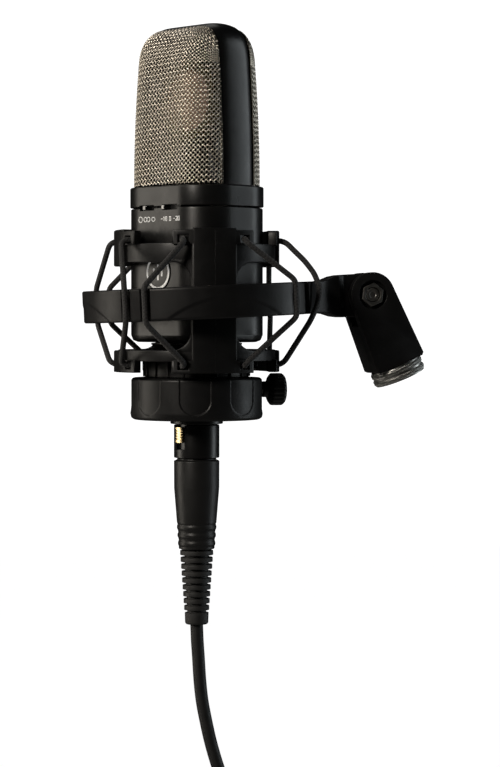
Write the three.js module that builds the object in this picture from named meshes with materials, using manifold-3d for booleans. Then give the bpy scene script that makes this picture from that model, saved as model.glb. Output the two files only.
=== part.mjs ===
// A side-address condenser microphone, hung on elastic cords in a ring mount with a stand swivel.
//
// Millimetres, +Z up. The origin is the centre of the stand thread's mouth, and +X runs from the
// microphone towards the swivel, so the microphone stands at negative X.
// Heights of the hanging pieces are written from the plane of the ring, on the microphone's axis.

import * as THREE from 'three';
import { mergeVertices } from 'three/addons/utils/BufferGeometryUtils.js';
import Module from 'manifold-3d';

const wasm = await Module();
wasm.setup();

// ---------------------------------------------------------------- driving dimensions

const GAP = 0.3; // kept between pieces that touch
const RADIAN = Math.PI / 180;

// Swivel: lengths run down from its pivot, along the swivel's own axis.
const SWIVEL = {
  lean: 23, // degrees that the stand's axis leans from upright
  mouth: 38.6, // pivot to the thread's mouth
  topRadius: 9.6,
  bottomHalfWidth: 11.2,
  bottom: 32.3,
  halfThickness: 9.75,
  slotHalf: 5.0,
  slotBottom: 10.6,
  nutRecessRadius: 6.2,
  nutRecessDepth: 2.6,
};
const THREAD = { radius: 7.45, collarRadius: 11.7, sleeveRadius: 8.25, sleeveTop: 22.4 };
const BOLT = { radius: 2.9, hole: 3.3 };

// Ring and arm
// The ring's middle is offset from the microphone's axis, toward the arm.
const RING = {
  radius: 49.5,
  wall: 3.0,
  offset: 1.5,
  halfHeight: 6.75,
  notchDepth: 1.4,
  notchHalf: 2.0,
};
const ARM = { reach: 74.9, tilt: 2.6, eyeRadius: 9.2, eyeHalf: 3.6, halfWidth: 6.0 };

// Elastic cords: each one is hooked to a pillar at both ends and passes outside the ring.
const ELASTIC = { radius: 1.2, sides: 8, steps: 18, hookOffset: 13, ringOffset: 5.5 };
// The slack cord's way down past the ring: out from the axis, aside, height.
const SLACK_WAY = [
  [35.3, 13.6, 25.3], [38, 16.1, 21.9], [41.6, 20.3, 17.4], [44.5, 24.7, 12.2],
  [46, 27.5, 6.8], [45.9, 27.7, 2.4], [44, 29.8, -2.6], [40.6, 32.4, -8],
];

// Cage
const CAGE = {
  inner: 29.4,
  wall: 33.2,
  outer: 34.9,
  pillarHalf: 9.6,
  pillarTop: 30.3,
  cornerRadius: 8,
  bandTop: 24.2,
  windowTop: 16.4,
  windowBottom: -19.8,
  bandBottom: -24.5,
  stubBottom: 15.1,
  hookTop: 29.5,
  hookBottom: -29.2,
  hookInner: 31.2,
  hookHalf: 17.4,
  hookBar: 2.1,
  slotNear: 11,
  slotFar: 15,
  floorInner: 16,
  floorThickness: 2.6,
  neckRadius: 22,
  neckBottom: -31.3,
  bore: 13.6,
};
const CAGE_FACETS = 40;
const CUP_SCREW = { circle: 20.5, headRadius: 3, head: 3.2 };
const CUP_SCREW_ANGLES = [90, 270];
const CUP = { radius: 28, top: -31.6, bottom: -49.2, screwHeight: -36.8, screwRadius: 2.2 };

// Microphone: half widths, half depths and corner radii of its rounded outline.
const FRONT_ANGLE = -60; // turn of the microphone in its clamp, about its own axis
const HEAD = { half: [26.3, 20.6, 15.4], bottom: 48.8, top: 117.4, cornerRadius: 15, hoopHalf: 8.7 };
const COLLAR = { half: [27.6, 21.8, 16], bottom: 39.9, top: 48.4, wall: 3.0 };
const BODY = { half: [27.3, 21.6, 16], bottom: -16.7, top: 39.4, wall: 1.8 };
const CAPSULE = { height: 85, radius: 16.5, half: 3.2, ringRadius: 17, diaphragmRadius: 12.6 };
const FOOT = { radius: 11.1, bottom: -51.1, socketRadius: 8.2, socketTop: -34.2 };
const PIN = { radius: 1.2, circle: 3.9, bottom: -50, top: -33 };
const SWITCH = { slotHalf: 4.6, height: 39.4, halfHeight: 1.2, at: [-7.2, 7.2], knob: [-7.2, 4.4] };
const BADGE = { radius: 7.5, height: 12.4, recess: 0.5, thickness: 0.8 };

// Plug on the microphone's foot, and the lead
const PLUG = {
  shellRadius: 9.6,
  noseRadius: 7.75,
  noseTop: -39.5,
  shellTop: -51.5,
  shellBottom: -65.4,
  bore: 6.9,
  gripBottom: -103.8,
  finTop: -104.5,
  finPitch: 2.9,
  fins: 9,
  end: -135.6,
};
const LEAD = { radius: 2.7, sides: 10 };
// The lead's centreline below the strain relief: sideways, then height below the exit.
const LEAD_LEAN = -14; // degrees of its plane about the upright axis
const LEAD_ROUTE = [
  [0, -GAP], [0.25, -7], [0.7, -13.6], [1.35, -23.8], [2.3, -32.5], [3.9, -41], [6.0, -50.3],
  [9.0, -60.5], [12.6, -70.4], [14.4, -75.4],
];
// The coil stands upright in the lead's plane and a little behind it. Its bundle of turns is
// halfThick from the middle turn outward and halfWide along the coil's axis.
const COIL = { radius: 31, halfThick: 11.8, halfWide: 14.5, across: -14.5, height: -112, back: 5.83 };
const TAIL = { across: COIL.across + 24.7, top: -121.5, bottom: -159, back: COIL.back - 17.5 };
const FAR_PLUG = { top: -159.3, reliefBottom: -185, gripBottom: -205, shellBottom: -227 };

// ---------------------------------------------------------------- materials

const finish = (color, roughness, metalness) =>
  new THREE.MeshStandardMaterial({ color, roughness, metalness });
const MATERIALS = {
  satinBlack: finish(0x17181a, 0.45, 0.3),
  mouldedBlack: finish(0x141415, 0.55, 0),
  elastic: finish(0x0c0c0c, 0.9, 0),
  mesh: finish(0xb9ab92, 0.4, 0.9),
  steel: finish(0x8f8f8c, 0.35, 1),
  brass: finish(0xb08d4a, 0.35, 1),
  gold: finish(0xd9b66a, 0.3, 1),
  nickel: finish(0xb8b8b4, 0.25, 1),
  badge: finish(0xe8e4d8, 0.4, 0.1),
  board: finish(0x1f4a33, 0.6, 0),
  rubber: finish(0x101010, 0.8, 0),
  cable: finish(0x0e0e10, 0.6, 0),
};

// ---------------------------------------------------------------- solids

// Turns a closed geometry's faces outward.
function outward(geometry) {
  const p = geometry.attributes.position;
  const index = geometry.index.array;
  const [a, b, c] = [new THREE.Vector3(), new THREE.Vector3(), new THREE.Vector3()];
  let volume = 0;
  for (let i = 0; i < index.length; i += 3) {
    a.fromBufferAttribute(p, index[i]);
    b.fromBufferAttribute(p, index[i + 1]);
    c.fromBufferAttribute(p, index[i + 2]);
    volume += a.dot(b.cross(c));
  }
  if (volume < 0) {
    for (let i = 0; i < index.length; i += 3) {
      [index[i + 1], index[i + 2]] = [index[i + 2], index[i + 1]];
    }
  }
  return geometry;
}

function solid(geometry) {
  const bare = geometry.clone();
  bare.deleteAttribute('normal');
  bare.deleteAttribute('uv');
  const merged = outward(mergeVertices(bare, 1e-5));
  return new wasm.Manifold(new wasm.Mesh({
    numProp: 3,
    vertProperties: new Float32Array(merged.attributes.position.array),
    triVerts: new Uint32Array(merged.index.array),
  }));
}

function shown(body) {
  const mesh = body.getMesh();
  const geometry = new THREE.BufferGeometry();
  geometry.setAttribute('position', new THREE.BufferAttribute(mesh.vertProperties, 3));
  geometry.setIndex(new THREE.BufferAttribute(mesh.triVerts, 1));
  geometry.computeVertexNormals();
  return geometry;
}

const join = (first, ...others) => others.reduce((whole, part) => whole.add(part), first);
const cut = (first, ...others) => others.reduce((whole, part) => whole.subtract(part), first);

// A closed [radius, height] outline turned about the upright axis.
function turned(outline, segments = 40) {
  const points = outline.map(([r, z]) => new THREE.Vector2(r, z));
  if (outline[0][0] > 0) points.push(points[0].clone());
  return solid(new THREE.LatheGeometry(points, segments).rotateX(Math.PI / 2));
}

const tube = (outer, inner, low, high, segments) =>
  turned([[outer, low], [outer, high], [inner, high], [inner, low]], segments);
const rod = (radius, low, high, segments) =>
  turned([[0, low], [radius, low], [radius, high], [0, high]], segments);

const polygon = (points) => new THREE.Shape(points.map(([x, y]) => new THREE.Vector2(x, y)));

function box(x0, x1, y0, y1, z0, z1) {
  const block = new THREE.BoxGeometry(x1 - x0, y1 - y0, z1 - z0);
  return solid(block.translate((x0 + x1) / 2, (y0 + y1) / 2, (z0 + z1) / 2));
}

function extruded(shape, depth, curveSegments = 6) {
  return new THREE.ExtrudeGeometry(shape, { depth, bevelEnabled: false, curveSegments });
}

// A shape drawn in X and Y, standing from one height to another.
const upright = (shape, low, high, segments) =>
  solid(extruded(shape, high - low, segments).translate(0, 0, low));

// A shape drawn in X and Z, running through from one Y to another.
function through(shape, near, far, segments) {
  const geometry = extruded(shape, far - near, segments).rotateX(Math.PI / 2);
  return solid(geometry.translate(0, far, 0));
}

// A shape drawn sideways and upward, pushed out along the radius at an angle in degrees.
function radial(shape, from, to, angle, segments) {
  const basis = new THREE.Matrix4().makeBasis(
    new THREE.Vector3(0, 1, 0), new THREE.Vector3(0, 0, 1), new THREE.Vector3(1, 0, 0),
  );
  const geometry = extruded(shape, to - from, segments).applyMatrix4(basis);
  return solid(geometry.translate(from, 0, 0).rotateZ(angle * RADIAN));
}

const rectangle = (x0, x1, y0, y1) => polygon([[x0, y0], [x1, y0], [x1, y1], [x0, y1]]);

function roundedOutline([halfWidth, halfDepth, radius], inset = 0) {
  const [w, d, r] = [halfWidth - inset, halfDepth - inset, radius - inset];
  const shape = new THREE.Shape();
  shape.moveTo(w, -d + r);
  shape.lineTo(w, d - r);
  shape.absarc(w - r, d - r, r, 0, Math.PI / 2);
  shape.absarc(-w + r, d - r, r, Math.PI / 2, Math.PI);
  shape.absarc(-w + r, -d + r, r, Math.PI, Math.PI * 1.5);
  shape.absarc(w - r, -d + r, r, Math.PI * 1.5, Math.PI * 2);
  return shape;
}

function circle(radius, x = 0, y = 0) {
  return new THREE.Shape().absarc(x, y, radius, 0, Math.PI * 2);
}

// A round cord along a curve, closed at both ends.
function cord(curve, radius, sides, steps) {
  const corners = [];
  for (let i = 0; i < sides; i += 1) {
    const turn = (i / sides) * Math.PI * 2;
    corners.push([radius * Math.cos(turn), radius * Math.sin(turn)]);
  }
  const geometry = new THREE.ExtrudeGeometry(polygon(corners), {
    steps, extrudePath: curve, curveSegments: 1,
  });
  return solid(geometry);
}

function mesh(name, body, material, place) {
  const item = new THREE.Mesh(shown(body), material);
  item.name = name;
  if (place) place(item);
  return item;
}

// ---------------------------------------------------------------- stand fitting and swivel

function threadCollar() {
  const { radius, collarRadius, sleeveRadius, sleeveTop } = THREAD;
  const [low, high] = [-SWIVEL.mouth, -SWIVEL.bottom - GAP];
  const middle = (low + high) / 2;
  const edge = collarRadius - 0.6;
  const groove = sleeveRadius - 0.5;
  return turned([
    [radius + 0.6, low], [edge, low], [collarRadius, low + 0.6], [collarRadius, middle - 0.4],
    [edge, middle - 0.2], [edge, middle + 0.2], [collarRadius, middle + 0.4],
    [collarRadius, high - 0.5], [edge, high], [sleeveRadius, high],
    [sleeveRadius, -sleeveTop - 1.9], [groove, -sleeveTop - 1.9], [groove, -sleeveTop - 0.7],
    [sleeveRadius, -sleeveTop - 0.7], [sleeveRadius, -sleeveTop], [radius, -sleeveTop],
    [radius, low + 0.6],
  ], 32);
}

function circlip() {
  const low = -THREAD.sleeveTop - 1.6;
  const ring = tube(THREAD.sleeveRadius + 0.6, THREAD.sleeveRadius - 0.15, low, low + 0.6, 32);
  return cut(ring, box(0, 12, -1.2, 1.2, low - 1, low + 2));
}

function swivelClevis() {
  const s = SWIVEL;
  const side = new THREE.Shape();
  side.moveTo(s.topRadius, 0);
  side.absarc(0, 0, s.topRadius, 0, Math.PI);
  side.lineTo(-s.bottomHalfWidth, -s.bottom + 1);
  side.lineTo(-s.bottomHalfWidth + 1, -s.bottom);
  side.lineTo(s.bottomHalfWidth - 1, -s.bottom);
  side.lineTo(s.bottomHalfWidth, -s.bottom + 1);
  const block = through(side, -s.halfThickness, s.halfThickness, 12);
  const slot = box(-20, 20, -s.slotHalf, s.slotHalf, -s.slotBottom, 20);
  const boltHole = through(circle(BOLT.hole), -20, 20, 10);
  const recess = through(
    circle(s.nutRecessRadius), -s.halfThickness - 1, -s.halfThickness + s.nutRecessDepth, 10,
  );
  const bore = rod(THREAD.sleeveRadius + 0.35, -s.bottom - 1, -s.slotBottom + 1, 32);
  const shoulder = -THREAD.sleeveTop - 2.1;
  const pocket = rod(THREAD.sleeveRadius + 0.9, shoulder, -s.slotBottom + 1, 32);
  return cut(block, slot, boltHole, recess, bore, pocket);
}

function hexShape(acrossFlats) {
  const corner = acrossFlats / 2 / Math.cos(Math.PI / 6);
  const points = [];
  for (let i = 0; i < 6; i += 1) {
    points.push([corner * Math.cos((i * Math.PI) / 3), corner * Math.sin((i * Math.PI) / 3)]);
  }
  return polygon(points);
}

function pivotNut() {
  const face = -SWIVEL.halfThickness;
  const hex = through(hexShape(9.0), face + 0.2, face + SWIVEL.nutRecessDepth - GAP);
  return cut(hex, through(circle(BOLT.radius + GAP), -20, 0, 10));
}

function tiltBolt() {
  return through(circle(BOLT.radius), -SWIVEL.halfThickness + 0.6, 17, 8);
}

function tiltKnob() {
  const near = SWIVEL.halfThickness + GAP;
  const outline = [
    [0, 18.8], [7.2, 18.8], [9, 17.6], [9, near + 2.4], [7.6, near + 1], [6, near],
    [BOLT.radius + GAP, near], [BOLT.radius + GAP, 17.3], [0, 17.3],
  ];
  return turned(outline, 24);
}

function frictionWasher(side) {
  const near = ARM.eyeHalf + GAP;
  const disc = through(circle(7.4), near, near + 0.8, 10);
  const washer = cut(disc, through(circle(BOLT.hole), 0, 20, 10));
  return side < 0 ? washer.mirror([0, 1, 0]) : washer;
}

// ---------------------------------------------------------------- ring and arm

function armBlock() {
  const { reach, eyeRadius, eyeHalf, halfWidth } = ARM;
  const start = RING.offset + RING.radius - 2;
  const side = new THREE.Shape();
  side.moveTo(start, -RING.halfHeight);
  side.lineTo(reach - 21, -RING.halfHeight - 0.2);
  side.lineTo(reach - 13.5, -eyeRadius);
  side.lineTo(reach, -eyeRadius);
  side.absarc(reach, 0, eyeRadius, -Math.PI / 2, Math.PI / 2);
  side.lineTo(reach - 13.5, eyeRadius);
  side.lineTo(reach - 21, RING.halfHeight + 0.2);
  side.lineTo(start, RING.halfHeight);
  const plan = polygon([
    [start - 4, -15], [start + 4, -10], [start + 12, -halfWidth], [reach - 13, -halfWidth],
    [reach - 11, -eyeHalf], [reach + 12, -eyeHalf], [reach + 12, eyeHalf],
    [reach - 11, eyeHalf], [reach - 13, halfWidth], [start + 12, halfWidth],
    [start + 4, 10], [start - 4, 15],
  ]);
  const block = through(side, -20, 20, 10).intersect(upright(plan, -12, 12));
  const inside = rod(RING.radius - RING.wall, -20, 20, 60).translate([RING.offset, 0, 0]);
  const pin = through(circle(BOLT.hole), -20, 20, 10).translate([reach, 0, 0]);
  return cut(block, inside, pin);
}

function yokeRing() {
  const { radius, wall, halfHeight, notchDepth, notchHalf } = RING;
  const inner = radius - wall;
  const band = turned([
    [radius - 0.6, -halfHeight], [radius, -halfHeight + 0.6], [radius, halfHeight - 0.6],
    [radius - 0.6, halfHeight], [inner, halfHeight], [inner, -halfHeight],
  ], 60);
  const notches = [];
  for (const angle of [45, 135, 225, 315]) {
    for (const side of [-1, 1]) {
      const slot = rectangle(-notchHalf, notchHalf, -20, 20);
      notches.push(radial(slot, radius - notchDepth, radius + 6, angle + side * ELASTIC.ringOffset));
    }
  }
  const notched = cut(band, ...notches).translate([RING.offset, 0, 0]);
  return join(notched, armBlock());
}

// ---------------------------------------------------------------- elastic cords

// A point at a pillar: distance out from the axis, sideways from the pillar's middle, height.
function atPillar(pillar, out, aside, height) {
  const point = new THREE.Vector3(out, aside, height);
  return point.applyAxisAngle(new THREE.Vector3(0, 0, 1), pillar * RADIAN);
}

// A point on the ring, carried by the ring's tilt.
function atRing(angle, radius, height) {
  const turn = angle * RADIAN;
  const [x, y] = [RING.offset + radius * Math.cos(turn), radius * Math.sin(turn)];
  const point = new THREE.Vector3(x, y, height);
  return point.applyAxisAngle(new THREE.Vector3(0, 1, 0), -ARM.tilt * RADIAN);
}

// side is 1 for the cord on the pillar's anticlockwise side, -1 for the other. A tight cord lies
// in its notch. A slack one bows outward past the ring.
function elastic(pillar, side, slack) {
  const aside = side * ELASTIC.hookOffset;
  const contact = pillar + side * (45 - ELASTIC.ringOffset);
  const touch = RING.radius - RING.notchDepth + ELASTIC.radius + GAP;
  const edge = RING.halfHeight + 1.4;
  const past = slack
    ? SLACK_WAY.map(([out, across, height]) => atPillar(pillar, out, side * across, height))
    : [
      atPillar(pillar, 34.7, aside, 24.7),
      atRing(contact, touch + 0.2, edge),
      atRing(contact, touch, RING.halfHeight - 2),
      atRing(contact, touch, -RING.halfHeight + 2),
      atRing(contact, touch + 0.2, -edge),
    ];
  const points = [
    atPillar(pillar, 30.6, aside, 25.9),
    atPillar(pillar, 32.8, aside, 25.9),
    ...past,
    atPillar(pillar, 34.7, aside, -25),
    atPillar(pillar, 32.8, aside, -26.2),
    atPillar(pillar, 30.6, aside, -26.2),
  ];
  const curve = new THREE.CatmullRomCurve3(points, false, 'catmullrom', slack ? 0.5 : 0.25);
  return cord(curve, ELASTIC.radius, ELASTIC.sides, ELASTIC.steps);
}

// ---------------------------------------------------------------- cage and clamp

// A full pillar's outline between the bands: its sides sweep out in round corners to meet them.
function pillarShape() {
  const { pillarHalf, cornerRadius, windowTop, windowBottom } = CAGE;
  const steps = 5;
  const right = [[pillarHalf + cornerRadius, windowTop + 1]];
  for (const [middle, from] of [
    [windowTop - cornerRadius, Math.PI / 2], [windowBottom + cornerRadius, Math.PI],
  ]) {
    for (let i = 0; i <= steps; i += 1) {
      const turn = from + (i / steps) * (Math.PI / 2);
      right.push([
        pillarHalf + cornerRadius * (1 + Math.cos(turn)), middle + cornerRadius * Math.sin(turn),
      ]);
    }
  }
  right.push([pillarHalf + cornerRadius, windowBottom - 1]);
  const left = right.map(([x, z]) => [-x, z]).reverse();
  return polygon([...right, ...left].reverse());
}

// One side's plates on the bands, with the slotted arms that the elastic cords hook into.
function plates(angle) {
  const c = CAGE;
  const panel = (half, low, high, inner) =>
    radial(rectangle(-half, half, low, high), 20, 50, angle)
      .intersect(tube(c.outer, inner, low, high, CAGE_FACETS));
  const slots = [];
  for (const side of [-1, 1]) {
    const [near, far] = [side * c.slotNear, side * c.slotFar].sort((a, b) => a - b);
    for (const [low, high] of [
      [c.bandTop, c.hookTop - c.hookBar], [c.hookBottom + 1.4, c.bandBottom],
    ]) {
      slots.push(radial(rectangle(near, far, low, high), 20, 50, angle));
    }
  }
  const whole = join(
    panel(c.pillarHalf, c.stubBottom, c.pillarTop, c.inner),
    panel(c.pillarHalf, c.hookBottom, c.windowBottom, c.inner),
    panel(c.hookHalf, c.bandTop - 0.5, c.hookTop, c.hookInner),
    panel(c.hookHalf, c.hookBottom, c.bandBottom + 0.5, c.hookInner),
  );
  return cut(whole, ...slots);
}

function cageBasket() {
  const c = CAGE;
  const bands = [
    tube(c.wall, c.inner, c.windowTop, c.bandTop, CAGE_FACETS),
    tube(c.wall, c.inner, c.bandBottom, c.windowBottom, CAGE_FACETS),
  ];
  const pillars = [90, 270].flatMap((angle) => [
    radial(pillarShape(), 20, 50, angle)
      .intersect(tube(c.wall, c.inner, c.windowBottom - 1, c.windowTop + 1, CAGE_FACETS)),
    radial(rectangle(-c.pillarHalf, c.pillarHalf, c.windowBottom, c.stubBottom), 20, 50, angle)
      .intersect(tube(c.outer, c.inner, c.windowBottom, c.stubBottom, CAGE_FACETS)),
  ]);
  const floor = tube(
    c.wall, c.floorInner, c.bandBottom, c.bandBottom + c.floorThickness, CAGE_FACETS,
  );
  const neck = tube(c.neckRadius, c.bore, c.neckBottom, c.bandBottom + 0.5, CAGE_FACETS);
  return join(...bands, ...pillars, floor, neck, ...[0, 90, 180, 270].map(plates));
}

function baseCup() {
  const { radius, top, bottom, screwHeight, screwRadius } = CUP;
  const outline = [
    [CAGE.bore, bottom], [radius - 1.6, bottom], [radius - 0.3, bottom + 1], [radius, bottom + 3],
    [radius, top - 1], [radius - 0.7, top], [CAGE.bore, top],
  ];
  const screwHole = radial(circle(screwRadius + 0.4), CAGE.bore - 4, radius + 4, 0)
    .translate([0, 0, screwHeight]);
  const screws = CUP_SCREW_ANGLES.map((angle) =>
    rod(CUP_SCREW.headRadius + GAP, bottom - 1, bottom + CUP_SCREW.head + GAP, 16)
      .translate(cupScrewAt(angle)));
  return cut(turned(outline, CAGE_FACETS), screwHole, ...screws);
}

const cupScrewAt = (angle) => [
  CUP_SCREW.circle * Math.cos(angle * RADIAN), CUP_SCREW.circle * Math.sin(angle * RADIAN), 0,
];

function cupScrew(angle) {
  const head = rod(CUP_SCREW.headRadius, CUP.bottom + 0.2, CUP.bottom + CUP_SCREW.head, 16);
  const drive = upright(hexShape(2.5), CUP.bottom - 1, CUP.bottom + 1.8);
  return cut(head, drive).translate(cupScrewAt(angle));
}

function clampLiner() {
  const sleeve = tube(CAGE.bore - GAP, FOOT.radius + 0.5, CUP.bottom + 0.3, CUP.top - 0.2, 28);
  return cut(sleeve, box(-20, 0, -0.8, 0.8, -60, 0));
}

function clampScrew() {
  return radial(circle(CUP.screwRadius), CAGE.bore + 0.1, 34.5, 0, 5)
    .translate([0, 0, CUP.screwHeight]);
}

function clampKnob() {
  const bore = CUP.screwRadius + GAP;
  const [near, far] = [CUP.radius + 0.5, 38.4];
  const knob = turned([
    [bore, near], [3.4, near], [3.4, near + 2.2], [5.4, near + 2.4], [6.9, near + 3.6],
    [6.9, far - 1.8], [6.0, far - 0.6], [4.6, far], [0, far], [0, 35], [bore, 35],
  ], 28);
  return knob.rotate([0, 90, 0]).translate([0, 0, CUP.screwHeight]);
}

// ---------------------------------------------------------------- microphone head

// The head's outer form, shrunk by an inset: a rounded outline, arched from side to side and
// domed from front to back.
function headForm(inset, bottom) {
  const [width, depth] = HEAD.half;
  const [w, d, top] = [width - inset, depth - inset, HEAD.top - inset];
  const corner = HEAD.cornerRadius - inset;
  const arch = new THREE.Shape();
  arch.moveTo(-w, bottom);
  arch.lineTo(w, bottom);
  arch.lineTo(w - 0.6, top - corner);
  arch.absarc(w - 0.6 - corner, top - corner, corner, 0, Math.PI / 2);
  arch.absarc(-w + 0.6 + corner, top - corner, corner, Math.PI / 2, Math.PI);
  const roof = HEAD.hoopHalf;
  const dome = new THREE.Shape();
  dome.moveTo(-d, bottom);
  dome.lineTo(d, bottom);
  dome.lineTo(d - 0.4, 82);
  dome.quadraticCurveTo(d - 0.9, top - 5, roof, top);
  dome.lineTo(-roof, top);
  dome.quadraticCurveTo(-d + 0.9, top - 5, -d + 0.4, 82);
  const outline = upright(roundedOutline(HEAD.half, inset), bottom, HEAD.top + 1, 5);
  const domeSolid = radial(dome, -40, 40, 0, 6);
  return outline.intersect(through(arch, -40, 40, 6)).intersect(domeSolid);
}

function headShell(wall) {
  return headForm(0, HEAD.bottom).subtract(headForm(wall, HEAD.bottom - 1));
}

const grille = (side) => {
  const edge = HEAD.hoopHalf + GAP;
  const half = side < 0 ? box(-40, 40, -40, -edge, 0, 140) : box(-40, 40, edge, 40, 0, 140);
  return headShell(1.2).intersect(half);
};

const headHoop = () =>
  headShell(1.8).intersect(box(-40, 40, -HEAD.hoopHalf, HEAD.hoopHalf, 0, 140));

const innerScreen = () =>
  headForm(2.2, HEAD.bottom + 0.4).subtract(headForm(2.9, HEAD.bottom - 1));

// ---------------------------------------------------------------- capsule

const along = (body) => body.rotate([90, 0, 0]); // an upright turned piece, laid along Y

const capsulePiece = (body) => along(body).translate([0, 0, CAPSULE.height]);

function capsuleRing(side) {
  const [low, high] = [CAPSULE.half + GAP, CAPSULE.half + GAP + 1.8].map((y) => y * side);
  const [near, far] = low < high ? [low, high] : [high, low];
  return capsulePiece(tube(CAPSULE.ringRadius, CAPSULE.diaphragmRadius + GAP, near, far, 28));
}

function diaphragm(side) {
  const [low, high] = [CAPSULE.half + GAP, CAPSULE.half + GAP + 0.3].map((y) => y * side);
  return capsulePiece(rod(CAPSULE.diaphragmRadius, Math.min(low, high), Math.max(low, high), 36));
}

function capsuleSaddle() {
  const cradle = polygon([
    [-13, 48.9], [13, 48.9], [13, 51.2], [5, 53], [4.5, 62], [13.5, 72], [13.5, 78],
    [-13.5, 78], [-13.5, 72], [-4.5, 62], [-5, 53], [-13, 51.2],
  ]);
  const room = capsulePiece(rod(CAPSULE.ringRadius + 0.5, -20, 20, 40));
  return cut(through(cradle, -2.6, 2.6), room);
}

const capsuleDeck = () => {
  const plate = upright(roundedOutline(COLLAR.half, COLLAR.wall + GAP), 45.9, 48.5, 5);
  return cut(plate, rod(2.5, 40, 60, 12));
};

// ---------------------------------------------------------------- microphone body

const switchSlot = (at) =>
  box(
    at - SWITCH.slotHalf, at + SWITCH.slotHalf, -40, -15,
    SWITCH.height - SWITCH.halfHeight, SWITCH.height + SWITCH.halfHeight,
  );

function neckCollar() {
  const ring = upright(roundedOutline(COLLAR.half), COLLAR.bottom, COLLAR.top, 7);
  const inside = upright(roundedOutline(COLLAR.half, COLLAR.wall), 0, 60, 5);
  return cut(ring, inside, ...SWITCH.at.map(switchSlot));
}

function bodyHousing() {
  const [width, depth] = BODY.half;
  const softBottom = (half) => polygon([
    [-half, 60], [-half, BODY.bottom + 3], [-half + 0.9, BODY.bottom + 0.9],
    [-half + 3, BODY.bottom], [half - 3, BODY.bottom], [half - 0.9, BODY.bottom + 0.9],
    [half, BODY.bottom + 3], [half, 60],
  ]);
  const outside = upright(roundedOutline(BODY.half), BODY.bottom, BODY.top, 7)
    .intersect(through(softBottom(width), -40, 40))
    .intersect(radial(softBottom(depth), -40, 40, 0));
  const inside = upright(roundedOutline(BODY.half, BODY.wall), BODY.bottom + BODY.wall, 60, 5);
  const footHole = rod(14, -30, 0, 32);
  const badgeSeat = through(circle(BADGE.radius + GAP), -40, -depth + BADGE.recess, 10)
    .translate([0, 0, BADGE.height]);
  return cut(outside, inside, footHole, badgeSeat, ...SWITCH.at.map(switchSlot));
}

function badgePlate() {
  const back = -BODY.half[1] + BADGE.recess - 0.2;
  return through(circle(BADGE.radius), back - BADGE.thickness, back, 10)
    .translate([0, 0, BADGE.height]);
}

function switchKnob(at) {
  const low = SWITCH.height - SWITCH.halfHeight + 0.25;
  const high = SWITCH.height + SWITCH.halfHeight - 0.25;
  return box(at - 1.2, at + 1.2, -22.6, -17.6, low, high);
}

const circuitBoard = () => box(-17, 17, 5.2, 6.8, -10, 36);
const outputTransformer = () => box(-11, 11, -12, 3.5, -10, 10);

function micFoot() {
  const { radius, bottom, socketRadius, socketTop } = FOOT;
  return turned([
    [socketRadius, bottom], [radius, bottom], [radius, -24], [12.8, -23.6], [19.2, -17.6],
    [19.2, BODY.bottom - GAP], [13.6, BODY.bottom - GAP], [13.6, -13], [6.5, -13],
    [6.5, socketTop], [socketRadius, socketTop],
  ], 28);
}

const PIN_ANGLES = [-30, 90, 210];
const pinAt = (angle) => [
  PIN.circle * Math.cos(angle * RADIAN), PIN.circle * Math.sin(angle * RADIAN), 0,
];

function footInsert() {
  const disc = rod(FOOT.socketRadius - GAP, FOOT.socketTop - 4, FOOT.socketTop - GAP, 32);
  const holes = PIN_ANGLES.map((a) => rod(PIN.radius + 0.3, -60, 0, 12).translate(pinAt(a)));
  return cut(disc, ...holes);
}

const contactPin = (angle) => rod(PIN.radius, PIN.bottom, PIN.top, 12).translate(pinAt(angle));

// ---------------------------------------------------------------- plug and lead

function plugShell() {
  const p = PLUG;
  const body = turned([
    [p.bore, p.shellBottom], [p.shellRadius, p.shellBottom], [p.shellRadius, p.shellTop - 0.5],
    [p.shellRadius - 0.5, p.shellTop], [p.noseRadius, p.shellTop], [p.noseRadius, p.noseTop],
    [p.bore, p.noseTop],
  ], 28);
  return cut(body, radial(rectangle(-2.4, 2.4, -61.6, -51.9), 7.9, 20, -90));
}

const plugLatch = () => radial(rectangle(-2.0, 2.0, -58.9, -52.3), 8.9, 10.3, -90);

function plugInsert() {
  const block = rod(PLUG.bore - GAP, -60, PLUG.noseTop - 0.4, 32);
  const holes = PIN_ANGLES.map((a) => rod(PIN.radius + 0.4, -70, 0, 12).translate(pinAt(a)));
  return cut(block, ...holes);
}

function plugGrip() {
  const top = PLUG.shellBottom - GAP;
  return turned([
    [7.1, top], [8.3, top], [8.3, top - 0.5], [9.6, top - 0.9], [9.5, -80], [8.3, -92.9],
    [8.0, PLUG.gripBottom], [5.6, PLUG.gripBottom], [5.6, -87], [7.1, -86],
  ], 24);
}

function plugRelief() {
  const bore = LEAD.radius + 0.35;
  const outline = [[bore, -94], [5.2, -94], [5.2, PLUG.finTop]];
  for (let i = 0; i < PLUG.fins; i += 1) {
    const t = i / (PLUG.fins - 1);
    const top = PLUG.finTop - i * PLUG.finPitch;
    const [fin, core] = [7.0 - 1.7 * t, 5.2 - 1.2 * t];
    outline.push([fin, top], [fin, top - 1.9], [core, top - 1.9], [core, top - PLUG.finPitch]);
  }
  outline.push([5.05, -130.6], [4.9, PLUG.end + 0.6], [4.4, PLUG.end], [bore, PLUG.end]);
  return turned(outline, 14);
}

// The lead lies in one upright plane, turned a little from the front.
function leadCurve(points) {
  const turn = LEAD_LEAN * RADIAN;
  return new THREE.CatmullRomCurve3(points.map(([across, height]) =>
    new THREE.Vector3(across * Math.cos(turn), across * Math.sin(turn), PLUG.end + height)));
}

const leadRun = () => cord(leadCurve(LEAD_ROUTE), LEAD.radius, LEAD.sides, 12);

const leadTail = () => rod(LEAD.radius, TAIL.bottom, TAIL.top, LEAD.sides);

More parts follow.
